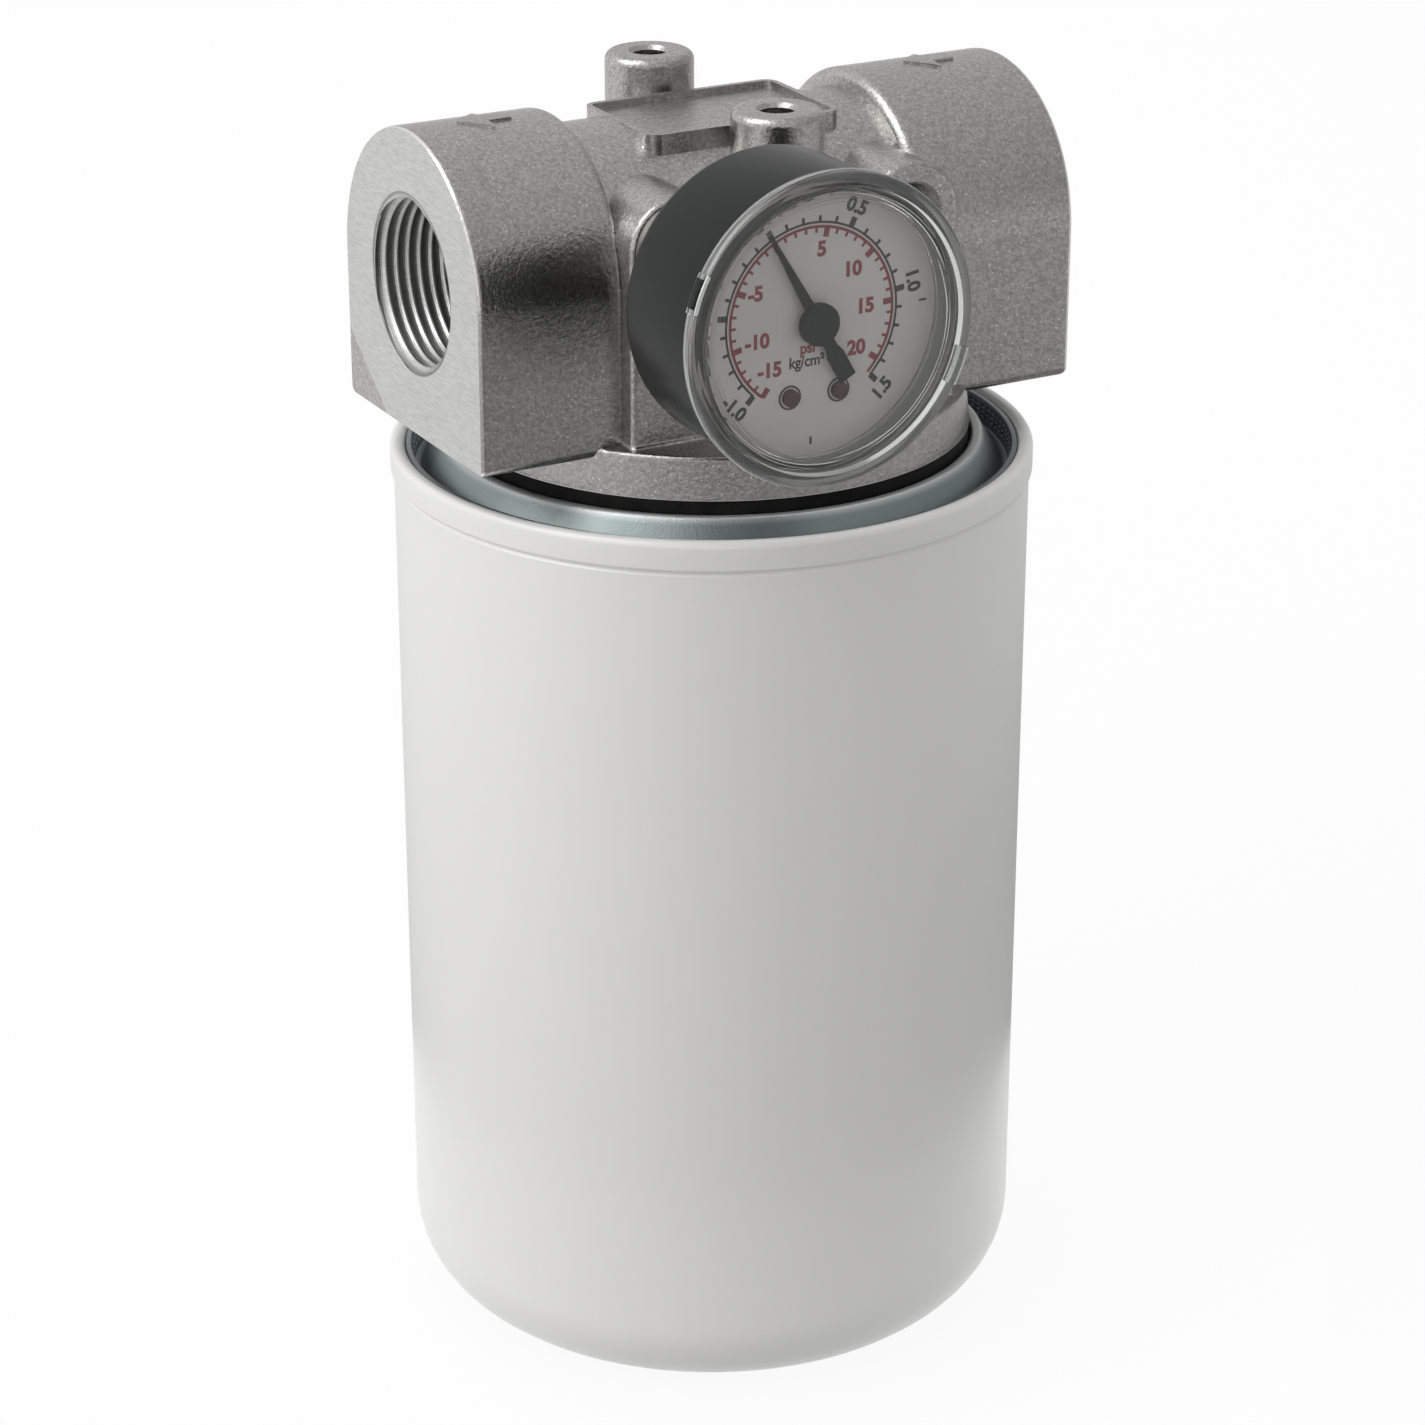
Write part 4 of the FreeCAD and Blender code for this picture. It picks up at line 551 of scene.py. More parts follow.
materials = {
    "cast_aluminium": castAluminium(),
    "zinc_steel": platedMetal("zinc plate", (0.53, 0.585, 0.59), (0.40, 0.455, 0.465), 0.25),
    "pressed_ring": pressedRing(),
    "valve_steel": turnedMetal("bright steel", (0.56, 0.56, 0.57), (0.42, 0.42, 0.43), 0.25),
    "valve_brass": turnedMetal("turned brass", (0.74, 0.56, 0.27), (0.58, 0.42, 0.18), 0.24),
    "spring_steel": platedMetal("drawn wire", (0.42, 0.42, 0.43), (0.30, 0.30, 0.31), 0.32, 1.6),
    "white_paint": enamel("white enamel", (0.84, 0.835, 0.825), (0.834, 0.829, 0.819), 0.30, 0.6),
    "black_rubber": rubber(),
    "cap_steel": platedMetal("tinned sheet", (0.60, 0.60, 0.58), (0.48, 0.48, 0.46), 0.34, 0.8),
    "filter_paper": filterPaper(),
    "gauge_brass": turnedMetal("stamped brass", (0.72, 0.55, 0.29), (0.55, 0.40, 0.19), 0.28, "gauge", 3.0),
    "copper_washer": turnedMetal("tinned copper", (0.40, 0.38, 0.355), (0.28, 0.265, 0.25), 0.38, "gauge", 2.0),
    "black_paint": enamel("satin black", (0.005, 0.0056, 0.0057), (0.007, 0.0077, 0.0077), 0.27, 0.0, 0.6, 0.006, 0.2),
    "clear_plastic": clearPlastic(),
    # dial white: its white darkened to a grey, partly painted shade from the cover ring
    "dial_white": enamel("dial white", (0.47, 0.44, 0.412), (0.452, 0.422, 0.392), 0.5, 0.0, 1.5),
    "pointer_black": enamel("pointer black", (0.004,) * 3, (0.006,) * 3, 0.5, 0.0, 1.5, level=0.12),
    "red_ink": printInk("red ink", (0.21, 0.014, 0.028)),
    "black_ink": printInk("black ink", (0.008, 0.008, 0.009)),
    "bare_steel": platedMetal("bare sheet", (0.42, 0.45, 0.45), (0.30, 0.34, 0.34), 0.34),
    "brown_screw": platedMetal("lacquered screw", (0.085, 0.04, 0.04), (0.05, 0.024, 0.024), 0.36, 2.0),
    # dull nickel: darker than the real socket, so that the boss beside it reflects it dark, a painted reflection
    "nickel_plate": platedMetal("dull nickel", (0.26, 0.255, 0.24), (0.18, 0.175, 0.165), 0.36),
}
print("materials made:", len(materials))

finishOf = {item["node"]: item["material_slot"] for item in frame["record"]["subparts"]}
# the gauge socket's dark nickel is partly a painted dark reflection for the boss
finishOf |= {"dial_screws": "brown_screw", "gauge_socket": "nickel_plate"}
for nodeName, node in nodes.items():
    node.data.materials.clear()
    node.data.materials.append(materials[finishOf[nodeName]])
print("CAD nodes finished in their materials")


# The can: a painted skin outside, bare sheet inside
canSizes = {
    "radius": 47.5, "height": 140.5, "sheet": 0.8, "baseRound": 13.4, "columns": 256,
    "beadInner": 19.0, "beadOuter": 28.0, "beadRise": 1.2, "beadSlope": 2.4,
    "groove": 136.0, "grooveRadius": 47.15, "grooveFloor": 0.3, "grooveEdge": 0.75, "grooveRise": 0.15,
    "seamRadius": 47.995, "seamInner": 45.7, "seamHeight": 4.4, "seamRound": 1.1, "paintEdge": 1.2, "neck": 1.6,
}


def makeCan():
    # two sections, outside and inside, that meet on the seam's inner wall, each turned round the can's axis
    f = named(canSizes)
    radius, top, sheet, groove = f.radius, f.height, f.sheet, f.groove
    slopeIn, slopeOut, rise = f.beadInner + f.beadSlope, f.beadOuter - f.beadSlope, f.beadRise
    seamFoot = top - f.seamHeight
    outside = [
        (0, 0, 0), (f.beadInner, 0, 1.2), (slopeIn, rise, 1.2), (slopeOut, rise, 1.2), (f.beadOuter, 0, 1.2),
        (radius, 0, f.baseRound), (radius, groove - f.grooveEdge, 0.25),
        (f.grooveRadius, groove - f.grooveFloor, 0.08), (f.grooveRadius, groove, 0.08),
        (f.seamRadius, groove + f.grooveRise, 0.45), (f.seamRadius, top, f.seamRound),
        (f.seamInner, top, f.seamRound), (f.seamInner, top - f.paintEdge, 0),
    ]
    inside = [
        (f.seamInner, top - f.paintEdge, 0), (f.seamInner, seamFoot, 0.4),
        (radius - sheet, seamFoot - f.neck, 0.4), (radius - sheet, sheet, f.baseRound - sheet),
        (f.beadOuter, sheet, 1.0), (slopeOut, rise + sheet, 1.0), (slopeIn, rise + sheet, 1.0),
        (f.beadInner, sheet, 1.0), (0, sheet, 0),
    ]
    painted = turned(outside, count=f.columns, closed=False, steps=10)
    bare = turned(inside, count=f.columns, closed=False)
    mesh = makeMesh("can_skin", [painted + (0,), bare + (1,)], ["white_paint", "bare_steel"])
    addPiece(mesh, "can", "white_paint", "can_shell")


# Gasket and its pressed ring: rim wall down into a channel, cone up to the folded lip, groove, inner lip
ringSizes = {
    "rim": 45.65, "rimTop": 139.9, "rimSlope": 0.4, "sheet": 0.8, "foot": 29.5, "plateTop": 137.8, "groove": 138.6,
    "channel": 136.0, "channelInner": 43.5, "coneFoot": 41.23, "coneUnder": 43.08,
    "lip": 1.6, "lipRound": 0.7, "outerTop": 141.4, "innerTop": 141.2, "play": 0.3,
    "gasketOuter": 38.3, "gasketInner": 33.9, "gasketTop": 143.2, "mouldLine": 0.08, "mouldHalf": 0.1,
    "knurls": 150, "knurlDepth": 0.4, "knurlLow": 136.75, "knurlHigh": 139.3, "knurlRows": 4, "near": 0.05,
}


def makeRetainer():
    # a section turned round the can's axis. The roller's marks on the rim's inner wall are squares sunk by the
    # knurl's depth, where a pulse along the height meets a pulse round the turn
    f = named(ringSizes)
    outer, inner = f.gasketOuter + f.play, f.gasketInner - f.play
    under, wallTop, fold = f.channel - f.sheet, f.rim - f.sheet, f.lipRound
    levels = np.linspace(f.knurlHigh, f.knurlLow, 4 * f.knurlRows - 2)
    walls = wallTop - f.rimSlope * (f.rimTop - levels) / (f.rimTop - f.channel)
    section = [
        (f.foot, f.plateTop, 0), (f.coneFoot, f.plateTop, 0.5), (f.coneUnder, under, 0.6),
        (f.rim, under, 0.5), (f.rim, f.rimTop, 0.2), (wallTop, f.rimTop, 0.15),
        *((wall, level, 0) for wall, level in zip(walls, levels)),
        (wallTop - f.rimSlope, f.channel, 0.3), (f.channelInner, f.channel, 0.4),
        (outer + f.lip, f.outerTop, fold), (outer, f.outerTop, fold), (outer, f.groove, 0.2),
        (inner, f.groove, 0.2), (inner, f.innerTop, fold), (inner - f.lip, f.innerTop, fold),
        (inner - f.lip, f.groove, 0.3), (f.foot, f.groove, 0.2),
    ]
    columns = 4 * f.knurls
    points, faces = turned(section, count=columns)
    step = (f.knurlHigh - points[:, 2]) / (levels[0] - levels[1])
    row = step.round()
    onRow = (np.abs(step - row) < 0.01) & (row % 4 > 0) & (row % 4 < 3) & (step > 0.5) & (step < len(levels) - 1.5)
    inTurn = np.tile(np.arange(columns) % 4 < 2, len(points) // columns)
    radius = np.hypot(points[:, 0], points[:, 1])
    onWall = np.abs(radius - np.interp(points[:, 2], levels[::-1], walls[::-1])) < f.near
    sunk = onRow & inTurn & onWall
    points[:, :2] *= np.where(sunk, 1 + f.knurlDepth / radius, 1.0)[:, None]
    print("knurl corners sunk:", int(sunk.sum()))
    mesh = makeMesh("retainer_ring", [(points, faces)], ["pressed_ring"])
    addPiece(mesh, "can", "zinc_steel", "gasket_retainer")


def makeGasket():
    # a section with a fine mould line at half its height, turned round the can's axis
    f = named(ringSizes)
    low, high, outer = f.groove, f.gasketTop, f.gasketOuter
    middle = (low + high) / 2
    section = [
        (f.gasketInner, low, 0), (outer, low, 0.3), (outer, middle - f.mouldHalf, 0),
        (outer + f.mouldLine, middle, 0), (outer, middle + f.mouldHalf, 0), (outer, high, 0.6),
        (f.gasketInner, high, 0.6),
    ]
    mesh = makeMesh("gasket_ring", [turned(section, count=160)], ["black_rubber"])
    addPiece(mesh, "gasket", "black_rubber", "sealing_gasket")


# Head casting: the solid's own faces, with cut threads instead of plain bores
portBore = {"core": 12.04, "root": 13.22, "low": 31.5, "high": 48.5, "pitch": 1.814, "mouth": 13.38, "count": 96,
            "taper": 1.2}
spareBore = {"core": 4.26, "root": 4.86, "low": 15.5, "high": 25.5, "pitch": 0.907, "mouth": 4.86, "count": 64,
             "taper": 0.8}
headBores = {"outlet": portBore, "inlet": portBore, "sparePort": spareBore}
threadShape = {"rows": 8, "steep": 1.3, "flat": 0.15, "mouthSlope": 4, "near": 0.3, "wallNear": 0.1, "endNear": 0.05}


def helix(low, high, pitch, count=96):
    # angle t, height h = s + pitch * t / 2 pi kept between the ends, and a wave that rises from 0 to 1 and falls
    # again with each pitch of s, flat at both
    f = named(threadShape)
    steps = int(math.ceil((high - low) / pitch + 1)) * f.rows
    s = low - pitch + pitch / f.rows * np.arange(steps + 1)
    s, t = np.meshgrid(s, np.linspace(0, 2 * np.pi, count + 1), indexing="ij")
    h = np.clip(s + pitch * t / (2 * np.pi), low, high)
    phase = ((s - low) / pitch) % 1.0
    return t, h, np.clip((1 - 2 * np.abs(phase - 0.5)) * f.steep - f.flat, 0, 1)


def wound(place, r, t, h):
    # (r cos t, r sin t, h)
    points = np.stack([r * np.cos(t), r * np.sin(t), h], -1)
    return setIn(place, points).reshape(-1, 3), gridFaces(*h.shape)


def cutThread(place, core, root, low, high, pitch, mouth, count, taper):
    # radius = core + (root - core) * the helix's wave, which fades out over the taper at the blind end and gives
    # way to the mouth's chamfer
    t, h, wave = helix(low, high, pitch, count)
    r = core + (root - core) * wave * np.clip((h - low) / taper, 0, 1)
    r = np.maximum(r, mouth - threadShape["mouthSlope"] * (high - h))
    r = np.where(h >= high, mouth, np.where(h <= low, core, r))
    return wound(place, r, t, h)


def zipRings(first, firstTurn, second, secondTurn):
    # two rings of corners about one axis: walking round by angle, each corner makes a triangle with the corner
    # before it on its own ring and the latest corner of the other ring
    first, second = first[np.argsort(firstTurn)], second[np.argsort(secondTurn)]
    order = np.argsort(np.concatenate([firstTurn, secondTurn]))
    fromFirst = order < len(first)
    i = (np.cumsum(fromFirst) - 1) % len(first)
    j = (np.cumsum(~fromFirst) - 1) % len(second)
    own = np.where(fromFirst, first[i], second[j])
    before = np.where(fromFirst, first[i - 1], second[j - 1])
    other = np.where(fromFirst, second[j], first[i])
    return np.stack([before, own, other], -1)


def openCorners(faces):
    # corners on edges that belong to one triangle only
    edges = np.sort(np.concatenate([faces[:, [0, 1]], faces[:, [1, 2]], faces[:, [2, 0]]]), axis=1)
    edges, uses = np.unique(edges, axis=0, return_counts=True)
    return np.unique(edges[uses == 1])


def makeHead():
    # the solid's triangles but for those on a bore's wall; each bore gets its thread, zipped to both rims left open
    f = named(threadShape)
    source = nodes["filter_head"].data.copy()
    mend(source, 1e-6)
    points = pointsOf(source) / mm
    corners = np.empty(len(source.loops), int)
    source.loops.foreach_get("vertex_index", corners)
    faces = corners.reshape(-1, 3)
    bpy.data.meshes.remove(source)
    keep = np.ones(len(faces), bool)
    for place, bore in headBores.items():
        radius, angle, height = inPlace(place, points)
        onWall = (radius > bore["core"] - f.wallNear) & (radius < bore["mouth"] + f.wallNear)
        onWall &= (height > bore["low"] - f.endNear) & (height < bore["high"] + f.endNear)
        keep &= ~onWall[faces].all(1)
    rims = openCorners(faces[keep])
    allPoints, allFaces, base = [points], [faces[keep]], len(points)
    for place, bore in headBores.items():
        thread, quads = cutThread(place, **bore)
        allPoints.append(thread)
        allFaces.append(np.concatenate([quads[:, [0, 1, 2]], quads[:, [0, 2, 3]]]) + base)
        count = bore["count"]
        angles = np.linspace(0, 2 * np.pi, count, endpoint=False)
        radius, angle, height = inPlace(place, points[rims])
        lastRow = len(thread) - count - 1
        for end, reach, start in ((bore["low"], bore["core"], 0), (bore["high"], bore["mouth"], lastRow)):
            rim = (np.abs(height - end) < f.near) & (np.abs(radius - reach) < f.near)
            allFaces.append(zipRings(rims[rim], angle[rim], base + start + np.arange(count), angles))
        base += len(thread)
    surface = (np.concatenate(allPoints), np.concatenate(allFaces))
    mesh = makeMesh("head_casting", [surface], ["cast_aluminium"], 35)
    piece = addPiece(mesh, "head", "cast_aluminium", "filter_head")
    piece.modifiers.new("even shading", "WEIGHTED_NORMAL").keep_sharp = True


# Nipple that joins head and can: thread outside, bore inside
nippleSizes = {"crest": 13.15, "core": 12.0, "start": 11.8, "bore": 10.0, "low": 126.916, "high": 157.0, "pitch": 1.814}


def makeNipple():
    # radius = core + (crest - core) * the helix's wave, cut off by a chamfer of 45 degrees at both ends
    f = named(nippleSizes)
    low, high, start, bore = f.low, f.high, f.start, f.bore
    t, h, wave = helix(low, high, f.pitch)
    r = np.minimum(f.core + (f.crest - f.core) * wave, start + np.minimum(h - low, high - h))
    inside = turned([(start, low, 0), (bore, low, 0), (bore, high, 0), (start, high, 0)], count=96, closed=False)
    mesh = makeMesh("nipple_thread", [wound("can", r, t, h), inside], ["zinc_steel"])
    addPiece(mesh, "head", "zinc_steel", "threaded_nipple")


# Bypass valve's spring: its foot on the cage and its top under the poppet
springSizes = {"low": 159.15, "high": 175.05, "coil": 5.0, "wire": 0.5, "turns": 6, "rings": 289, "around": 12,
               "ends": (0, 0.1, 0.3, 0.6)}


def makeSpring():
    # middle line (R cos t, R sin t, climbing with t), swept with a circle whose radius grows at both ends as
    # a quarter circle does: wire * sqrt(1 - (1 - distance from the end in wires) squared)
    f = named(springSizes)
    coil, wire, whole = f.coil, f.wire, 2 * np.pi * f.turns
    ends = wire / coil * np.array(f.ends)
    t = np.concatenate([ends, np.linspace(wire / coil, whole - wire / coil, f.rings), whole - ends[::-1]])
    climb = (f.high - f.low - 2 * wire) / whole
    reach = np.clip(np.minimum(t, whole - t) * coil / wire, 0, 1)
    swell = wire * np.sqrt(1 - (1 - reach) ** 2)
    radial = np.stack([np.cos(t), np.sin(t), 0 * t], -1)
    along = np.stack([-coil * np.sin(t), coil * np.cos(t), 0 * t + climb], -1)
    side = np.cross(along / np.linalg.norm(along, axis=1)[:, None], radial)
    middle = coil * radial + np.array([0, 0, 1]) * (f.low + wire + climb * t)[:, None]
    s = np.linspace(0, 2 * np.pi, f.around, endpoint=False)[:, None]
    points = middle[:, None] + swell[:, None, None] * (np.cos(s) * radial[:, None] + np.sin(s) * side[:, None])
    surface = (points.reshape(-1, 3), gridFaces(len(t), f.around, False, True))
    mesh = makeMesh("valve_coil", [surface], ["spring_steel"])
    piece = addPiece(mesh, None, "spring_steel", "bypass_spring")
    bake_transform(piece)


# Gauge case and its clear cover, heights measured from the head's middle towards the viewer
caseSizes = {"back": 47.1, "front": 66.1, "radius": 20.5, "sheet": 0.7, "round": 2.0, "hole": 5.07}
coverSizes = {
    "front": 68.3, "flange": 66.15, "outer": 21.5, "wallOuter": 19.75, "wallInner": 18.4, "wallEnd": 62.8,
    "window": 18.75, "windowFront": 67.9, "windowBack": 66.7, "ring": 1.9, "fall": 0.2, "edge": 1.2,
    "step": 17.35, "steps": ((0.6, 0), (0.5, 0.08), (0.1, 0.08), (0, 0.18)), "stepFall": 0.18,
    "lugMiddle": -21.5, "lug": (7.2, 20.6, 21.78, 66.3, 67.5), "slot": (5.4, 21.2, 21.81, 66.45, 67.35), "lugSteps": 13,
}


def makeCase():
    # a section turned round the gauge's axis
    f = named(caseSizes)
    back, front, sheet, radius = f.back, f.front, f.sheet, f.radius
    section = [
        (f.hole, back, 0), (radius, back, f.round), (radius, front, 0.2), (radius - sheet, front, 0.2),
        (radius - sheet, back + sheet, f.round - sheet), (f.hole, back + sheet, 0),
    ]
    mesh = makeMesh("case_drum", [turned(section, "gauge")], ["black_paint"])
    addPiece(mesh, "head", "black_paint", "gauge_case")


def lugBlock(middle, half, inner, outer, low, high):
    # a short arc of rectangular section on the ring's edge: four corners carried over the arc, with flat ends
    count = coverSizes["lugSteps"]
    t = np.radians(np.linspace(middle - half, middle + half, count))[:, None]
    r = np.array([inner, outer, outer, inner])
    h = np.array([low, low, high, high])
    points = np.stack([r * np.cos(t), r * np.sin(t), h + 0 * t], -1).reshape(-1, 3)
    ends = [[0, 1, 2, 3], [4 * count - 1, 4 * count - 2, 4 * count - 3, 4 * count - 4]]
    return setIn("gauge", points), np.concatenate([gridFaces(count, 4, False, True), ends])


def makeCover():
    # a section turned round the gauge's axis, its window with two fine steps, and two lugs on the ring's edge, the
    # left one with a dark slot: a black block for the black case seen through it, partly painted shade of the gap
    f = named(coverSizes)
    front, outer, window, flange, wallEnd = f.front, f.outer, f.window, f.flange, f.wallEnd
    glass, sunk, rim = f.windowFront, f.windowFront - f.fall, outer - f.ring
    section = [
        (0, f.windowBack, 0), (f.wallInner, f.windowBack, 0.25), (f.wallInner, wallEnd, 0.1),
        (f.wallOuter, wallEnd, 0.1), (f.wallOuter, flange, 0.08), (outer, flange, 0.15), (outer, front, f.edge),
        (rim, front, 0.25), (rim - 2 * f.fall, sunk, 0.1), (window, sunk, 0.06), (window - f.fall, glass, 0.06),
        *((f.step + shift, glass - drop, 0) for shift, drop in f.steps), (0, glass - f.stepFall, 0),
    ]
    mesh = makeMesh("clear_cover", [turned(section, "gauge", closed=False)], ["clear_plastic"], 28)
    addPiece(mesh, "head", "clear_plastic", "gauge_lens")
    right, left = f.lugMiddle, f.lugMiddle + 180
    # the left lug's black block: the case seen through the slot, partly painted shade
    blocks = [lugBlock(right, *f.lug), lugBlock(left, *f.lug), lugBlock(left, *f.slot) + (1,)]
    mesh = makeMesh("cover_lugs", blocks, ["clear_plastic", "black_paint"], 28)
    addPiece(mesh, "head", "clear_plastic")


# Dial print: two scales, their ticks and numbers, a thin film just off the dial's face. Angles in degrees
dialSizes = {
    "face": 62.5, "lift": 0.005, "film": 0.03, "shift": (-0.48, 0.67), "zero": 118, "kilogram": 109, "pound": 7.664,
    "redArc": 12.4, "redHalf": 0.2, "redEnd": 233.0, "redMinor": (11.55, 12.4, 0.19), "redMajor": (11.0, 12.4, 0.42),
    "blackArc": 13.0, "blackHalf": 0.16, "blackMinor": (13.0, 13.9, 0.21), "blackMajor": (13.0, 14.4, 0.42),
    "sideTick": (16.6, 17.7, 0.16), "redDigit": 2.0, "blackDigit": 1.9, "blackReach": 15.9, "unitDigit": 1.6,
    "capHeight": 0.72, "screws": ((-3.75, -9.95), (3.75, -9.95)), "screwRing": (1.45, 1.72),
}
redNumbers = {"5": (1.4, 9.3), "10": (6.4, 5.9), "15": (8.4, 0.5), "20": (6.9, -5.1), "-5": (-8.6, 4.5),
              "-10": (-8.3, -2.1), "-15": (-6.4, -6.3)}
blackNumbers = (("0.5", 65, -25), ("1.0", 10, -80), ("1.5", -45.8, 45), ("-1.0", 222.5, -45))


def filmAt(outline, faces, rims=None):
    # flat print (a, b) given a thickness: at the face and one film higher, with walls along the rims, or else
    # along every face's edges
    base = dialSizes["face"] + dialSizes["lift"]
    count, faces = len(outline), np.asarray(faces)
    layers = [np.column_stack([outline, np.full(count, h)]) for h in (base, base + dialSizes["film"])]
    rims = faces if rims is None else rims
    after = np.roll(rims, -1, 1)
    walls = np.stack([rims, after, after + count, rims + count], -1).reshape(-1, 4)
    return setIn("gauge", np.concatenate(layers)), np.concatenate([faces[:, ::-1], faces + count, walls])


def ticks(angles, inner, outer, half):
    # one bar per angle: corners at the inner and outer radius, half a width to each side
    angles = np.radians(np.asarray(angles, float))[:, None, None]
    along = np.concatenate([np.cos(angles), np.sin(angles)], -1)
    side = np.concatenate([-np.sin(angles), np.cos(angles)], -1)
    reach = np.array([inner, outer, outer, inner])[None, :, None]
    shift = np.array([-half, -half, half, half])[None, :, None]
    points = (along * reach + side * shift).reshape(-1, 2)
    return filmAt(points, np.arange(len(points)).reshape(-1, 4))


def arcBand(radius, half, start, stop, count=96):
    # a band on a circle: radius less half, radius plus half, from start to stop
    t = np.radians(np.linspace(start, stop, count))
    ring = np.stack([np.cos(t), np.sin(t)], -1)
    i = np.arange(count - 1)
    rim = np.concatenate([np.arange(count), np.arange(2 * count - 1, count - 1, -1)])
    return filmAt(np.concatenate([ring * (radius - half), ring * (radius + half)]),
                  np.stack([i + count, i + count + 1, i + 1, i], -1), rim[None])


def lettering(text, at, height, turn=0.0, squeeze=1.0, bold=0.06):
    # a text made into flat faces, moved to its middle, squeezed, turned by (a cos - b sin, a sin + b cos) and set
    # on the dial
    f = named(dialSizes)
    curve = bpy.data.curves.new("lettering", "FONT")
    curve.body = text
    curve.align_x = "CENTER"
    curve.align_y = "CENTER"
    curve.size = height / f.capHeight
    curve.offset = bold * height
    curve.extrude = f.film / 2
    holder = newObject("lettering", curve)
    bpy.context.view_layer.update()
    mesh = bpy.data.meshes.new_from_object(holder.evaluated_get(bpy.context.evaluated_depsgraph_get()))
    points = pointsOf(mesh)
    faces = [list(polygon.vertices) for polygon in mesh.polygons]
    bpy.data.objects.remove(holder)
    bpy.data.curves.remove(curve)
    bpy.data.meshes.remove(mesh)
    a, b, h = ((points - (points.max(0) + points.min(0)) / 2) * (squeeze, 1, 1)).T
    cos, sin = math.cos(math.radians(turn)), math.sin(math.radians(turn))
    points = [a * cos - b * sin + at[0], a * sin + b * cos + at[1], h + f.face + f.lift + f.film / 2]
    return setIn("gauge", np.stack(points, -1)), faces


def printPiece(name, surfaces, ink):
    # one list of faces with any number of corners, and the whole print shifted as it is on the real dial
    faces, base = [], 0
    for points, corners in surfaces:
        faces.extend([[int(corner) + base for corner in face] for face in corners])
        base += len(points)
    shift = np.array((dialSizes["shift"][0], 0, dialSizes["shift"][1]))
    points = np.concatenate([points for points, corners in surfaces]) * mm + shift * mm
    mesh = bpy.data.meshes.new(name)
    mesh.from_pydata(points.tolist(), [], faces)
    mesh.materials.append(materials[ink])
    mesh.validate()
    mend(mesh, outward=True)
    addPiece(mesh, "head", "dial_white")


def makeDialPrint():
    # angle of a value = zero less a fixed turn for each unit, on both scales
    f = named(dialSizes)
    pounds, tenths = np.arange(-15, 21), np.arange(-10, 16)
    poundAngles = f.zero - f.pound * pounds
    kilogramAngles = f.zero - f.kilogram * (tenths / 10)
    start, stop = kilogramAngles[-1], kilogramAngles[0]
    fives = pounds % 5 == 0
    red = [arcBand(f.redArc, f.redHalf, start, f.redEnd), ticks(poundAngles[~fives], *f.redMinor),
           ticks(poundAngles[fives], *f.redMajor)]
    red += [lettering(text, at, f.redDigit) for text, at in redNumbers.items()]
    red.append(lettering("psi", (-0.6, -4.3), f.unitDigit, 0, 0.95, 0.045))
    halves = tenths % 5 == 0
    black = [arcBand(f.blackArc, f.blackHalf, start, stop), ticks(kilogramAngles[~halves], *f.blackMinor),
             ticks(kilogramAngles[halves], *f.blackMajor)]
    for text, angle, turn in blackNumbers:
        at = f.blackReach * math.cos(math.radians(angle)), f.blackReach * math.sin(math.radians(angle))
        black.append(lettering(text, at, f.blackDigit, turn))
    black.append(lettering("kg/cm²", (-0.7, -6.1), f.unitDigit, 0, 0.9, 0.03))
    black.append(ticks((0, 90, 270), *f.sideTick))
    low, (inner, outer) = f.face + f.lift, f.screwRing
    high = low + f.film
    points, faces = turned([(inner, low, 0), (outer, low, 0), (outer, high, 0), (inner, high, 0)], "gauge", 48)
    for a, b in f.screws:
        black.append((points + (a - f.shift[0], 0, b - f.shift[1]), faces))
    printPiece("dial_print_red", red, "red_ink")
    printPiece("dial_print_black", black, "black_ink")


makeCan()
makeRetainer()
makeGasket()
print("can, ring and gasket made")
makeHead()
makeNipple()
makeSpring()
print("head, nipple and spring made")
makeCase()
makeCover()
makeDialPrint()
print("gauge made")


# Studio: pale floor, a large soft key from the left, a soft top light, a weak fill from the right, pale surround.
# Metal and glass see a graded room with one soft window, and a grey cloth on the floor, but not the lamps
studio = {
    "aim": (0, 0, 0.11), "floor": 3.0, "floorTone": 0.40, "floorRough": 0.6, "floorGlow": 1.10, "shadowShare": 0.16,
    "key": {"at": (-1.3, -0.09, 0.86), "power": 15.5, "size": 1.5},
    "top": {"at": (0.1, 0.45, 1.5), "power": 8.5, "size": 1.6},
    "fill": {"at": (1.15, -0.85, 0.45), "power": 4.8, "size": 1.3},
    "ambient": 0.41, "roomLean": (-0.8, 0.35, 0.2), "roomEnds": (-0.8, 1.0), "roomDark": 0.38, "roomPale": 1.0,
    "window": (-0.62, 0.10, 0.78), "windowEdge": (0.88, 0.97), "windowGlow": 2.4,
    "clothLean": (-0.9, 1.0), "clothEnds": (-0.25, 0.55), "clothDark": 0.24, "clothPale": 0.85,
    "cardEdge": (0.16, 0.36), "cardPale": 0.3, "clothInner": 0.10, "clothOuter": 1.6, "clothHeight": 0.0005,
}


def softLamp(name):
    facts = studio[name]
    data = bpy.data.lights.new(name, "AREA")
    data.energy = facts["power"]
    data.shape = "SQUARE"
    data.size = facts["size"]
    lamp = newObject(name, data)
    lamp.location = facts["at"]
    lamp.rotation_euler = (Vector(studio["aim"]) - Vector(facts["at"])).to_track_quat("-Z", "Y").to_euler()
    lamp.visible_glossy = False


def stagePlate(name, points, faces, material):
    mesh = bpy.data.meshes.new(name)
    mesh.from_pydata(points, [], faces)
    mesh.materials.append(material)
    plate = newObject(name, mesh)
    return plate


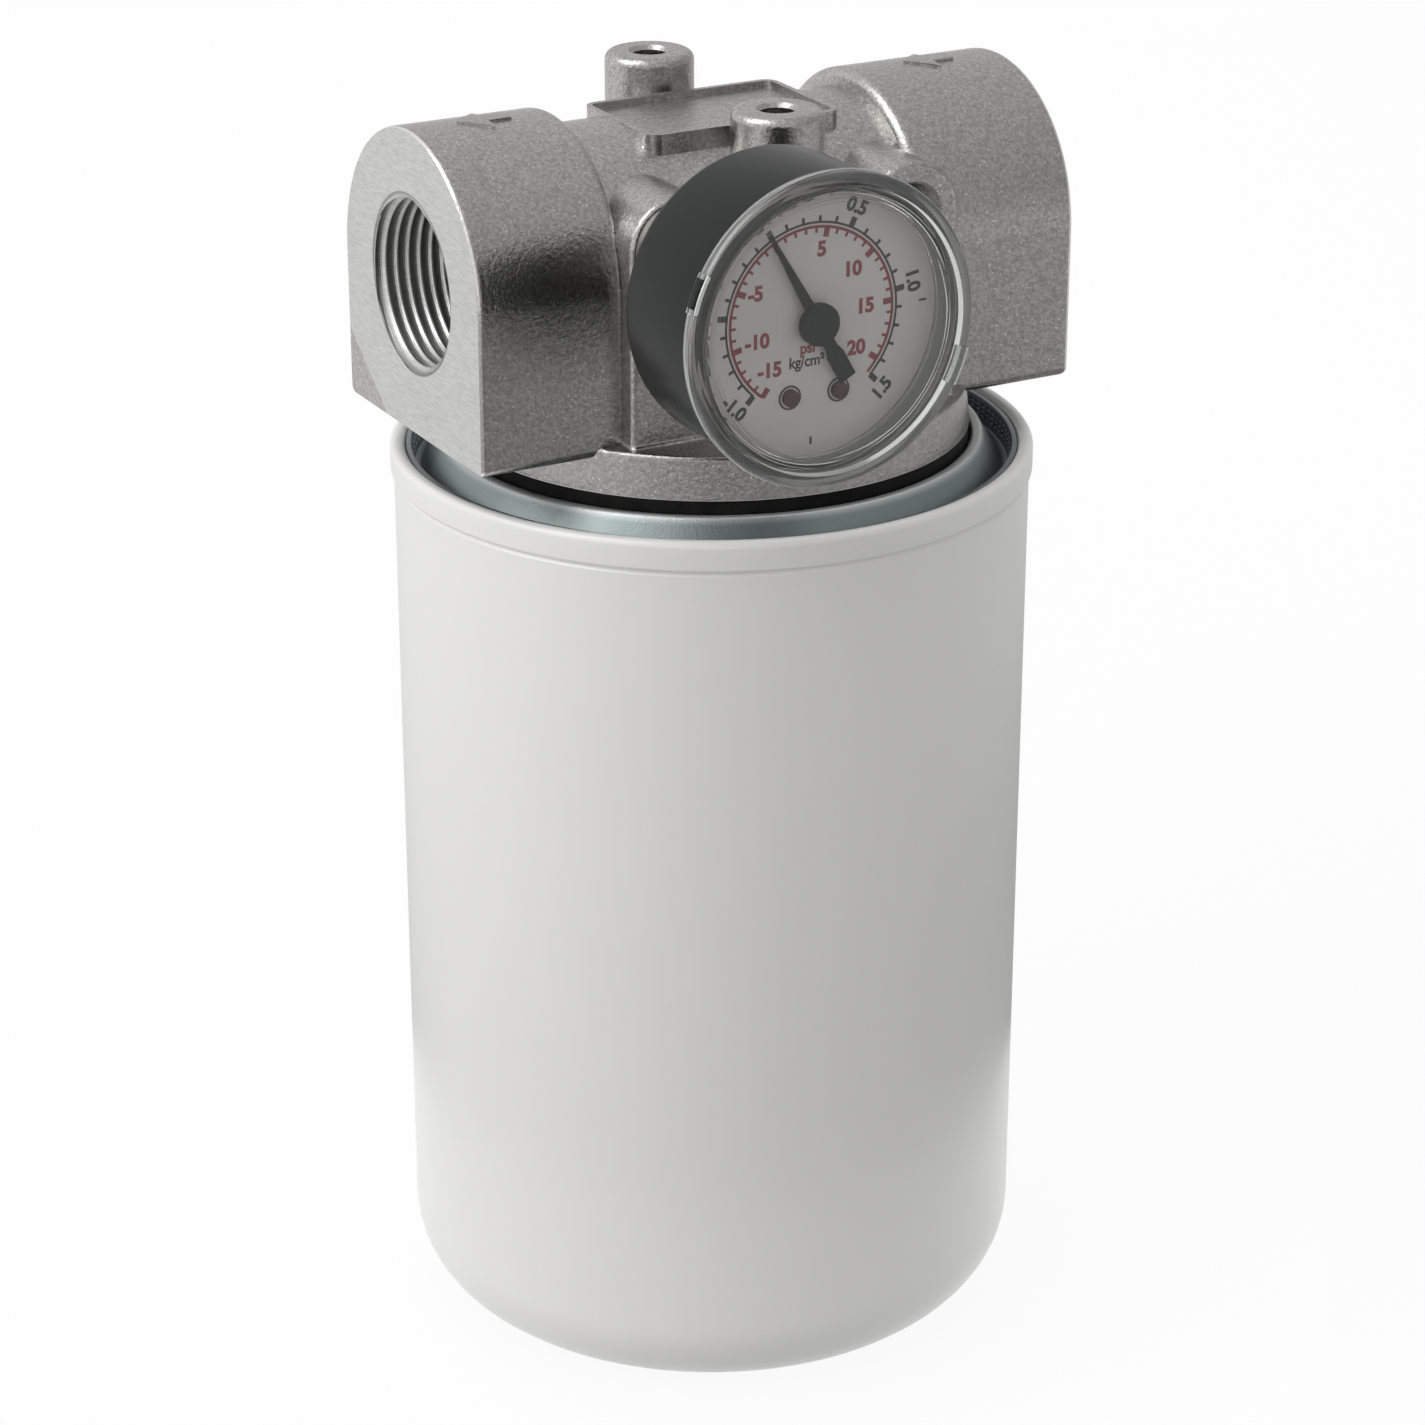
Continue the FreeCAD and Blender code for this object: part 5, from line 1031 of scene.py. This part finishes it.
def floorMaterial():
    # camera, glossy and transmitted rays see it almost white; the share left over carries the shadow
    made, tree, shader = blankMaterial("pale floor")
    connect(shader.inputs["Base Color"], (studio["floorTone"],) * 3)
    connect(shader.inputs["Roughness"], studio["floorRough"])
    path = add(tree, "LightPath").outputs
    seen = either(path["Is Camera Ray"], either(path["Is Glossy Ray"], path["Is Transmission Ray"]))
    glow = add(tree, "Emission", {"Color": (1, 1, 1), "Strength": studio["floorGlow"]}).outputs[0]
    both = add(tree, "MixShader", {0: times(seen, 1 - studio["shadowShare"]), 1: shader.outputs[0], 2: glow})
    connect(tree.nodes["Material Output"].inputs["Surface"], both.outputs[0])
    return made


def makeSurround():
    # white to the camera; to metal and glass, pale at the left and behind, darker in front and at the right, with
    # a soft round window above the left
    f = named(studio)
    world = bpy.data.worlds.new("surround")
    world.use_nodes = True
    bpy.context.scene.world = world
    tree = world.node_tree
    looking = add(tree, "TexCoord").outputs["Generated"]
    way = split(looking)
    x, y, z = (times(part, share) for part, share in zip(way, f.roomLean))
    lean = plus(plus(x, y), z)
    room = ramp(lean, *f.roomEnds, f.roomDark, f.roomPale, "LINEAR")
    window = Vector(f.window).normalized()
    facing = add(tree, "VectorMath", {0: looking, 1: window}, operation="DOT_PRODUCT").outputs["Value"]
    room = plus(room, ramp(facing, *f.windowEdge, 0.0, f.windowGlow))
    path = add(tree, "LightPath").outputs
    inside = mixValue(path["Is Glossy Ray"], f.ambient, room)
    strength = mixValue(either(path["Is Camera Ray"], path["Is Transmission Ray"]), inside, 1.0)
    background = tree.nodes["Background"]
    connect(background.inputs["Color"], (1, 1, 1))
    connect(background.inputs["Strength"], strength)


def clothMaterial():
    # pale towards the left and behind, dark in front of the object, somewhat paler again at the far right
    f = named(studio)
    made, tree = blankMaterial("table cloth")[:2]
    where = split(add(tree, "TexCoord").outputs["Object"])
    x, y = (times(part, share) for part, share in zip(where, f.clothLean))
    tone = ramp(plus(x, y), *f.clothEnds, f.clothDark, f.clothPale)
    tone = plus(tone, ramp(where["X"], *f.cardEdge, 0.0, f.cardPale))
    glow = add(tree, "Emission", {"Color": (1, 1, 1), "Strength": tone})
    connect(tree.nodes["Material Output"].inputs["Surface"], glow.outputs[0])
    return made


def makeStudio():
    for name in ("key", "top", "fill"):
        softLamp(name)
    makeSurround()
    half = studio["floor"]
    corners = [(-half, -half, 0), (half, -half, 0), (half, half, 0), (-half, half, 0)]
    stagePlate("floor", corners, [(0, 1, 2, 3)], floorMaterial())
    # a grey cloth round the turntable, which only shiny surfaces see
    t = np.linspace(0, 2 * np.pi, 64, endpoint=False)
    r = np.array([studio["clothInner"], studio["clothOuter"]])[:, None]
    ring = np.stack([r * np.cos(t), r * np.sin(t), 0 * r * t + studio["clothHeight"]], -1).reshape(-1, 3)
    cloth = stagePlate("cloth", ring.tolist(), gridFaces(2, 64, False, True).tolist(), clothMaterial())
    for ray in ("camera", "diffuse", "transmission", "shadow"):
        setattr(cloth, "visible_" + ray, False)


makeStudio()
print("studio made")
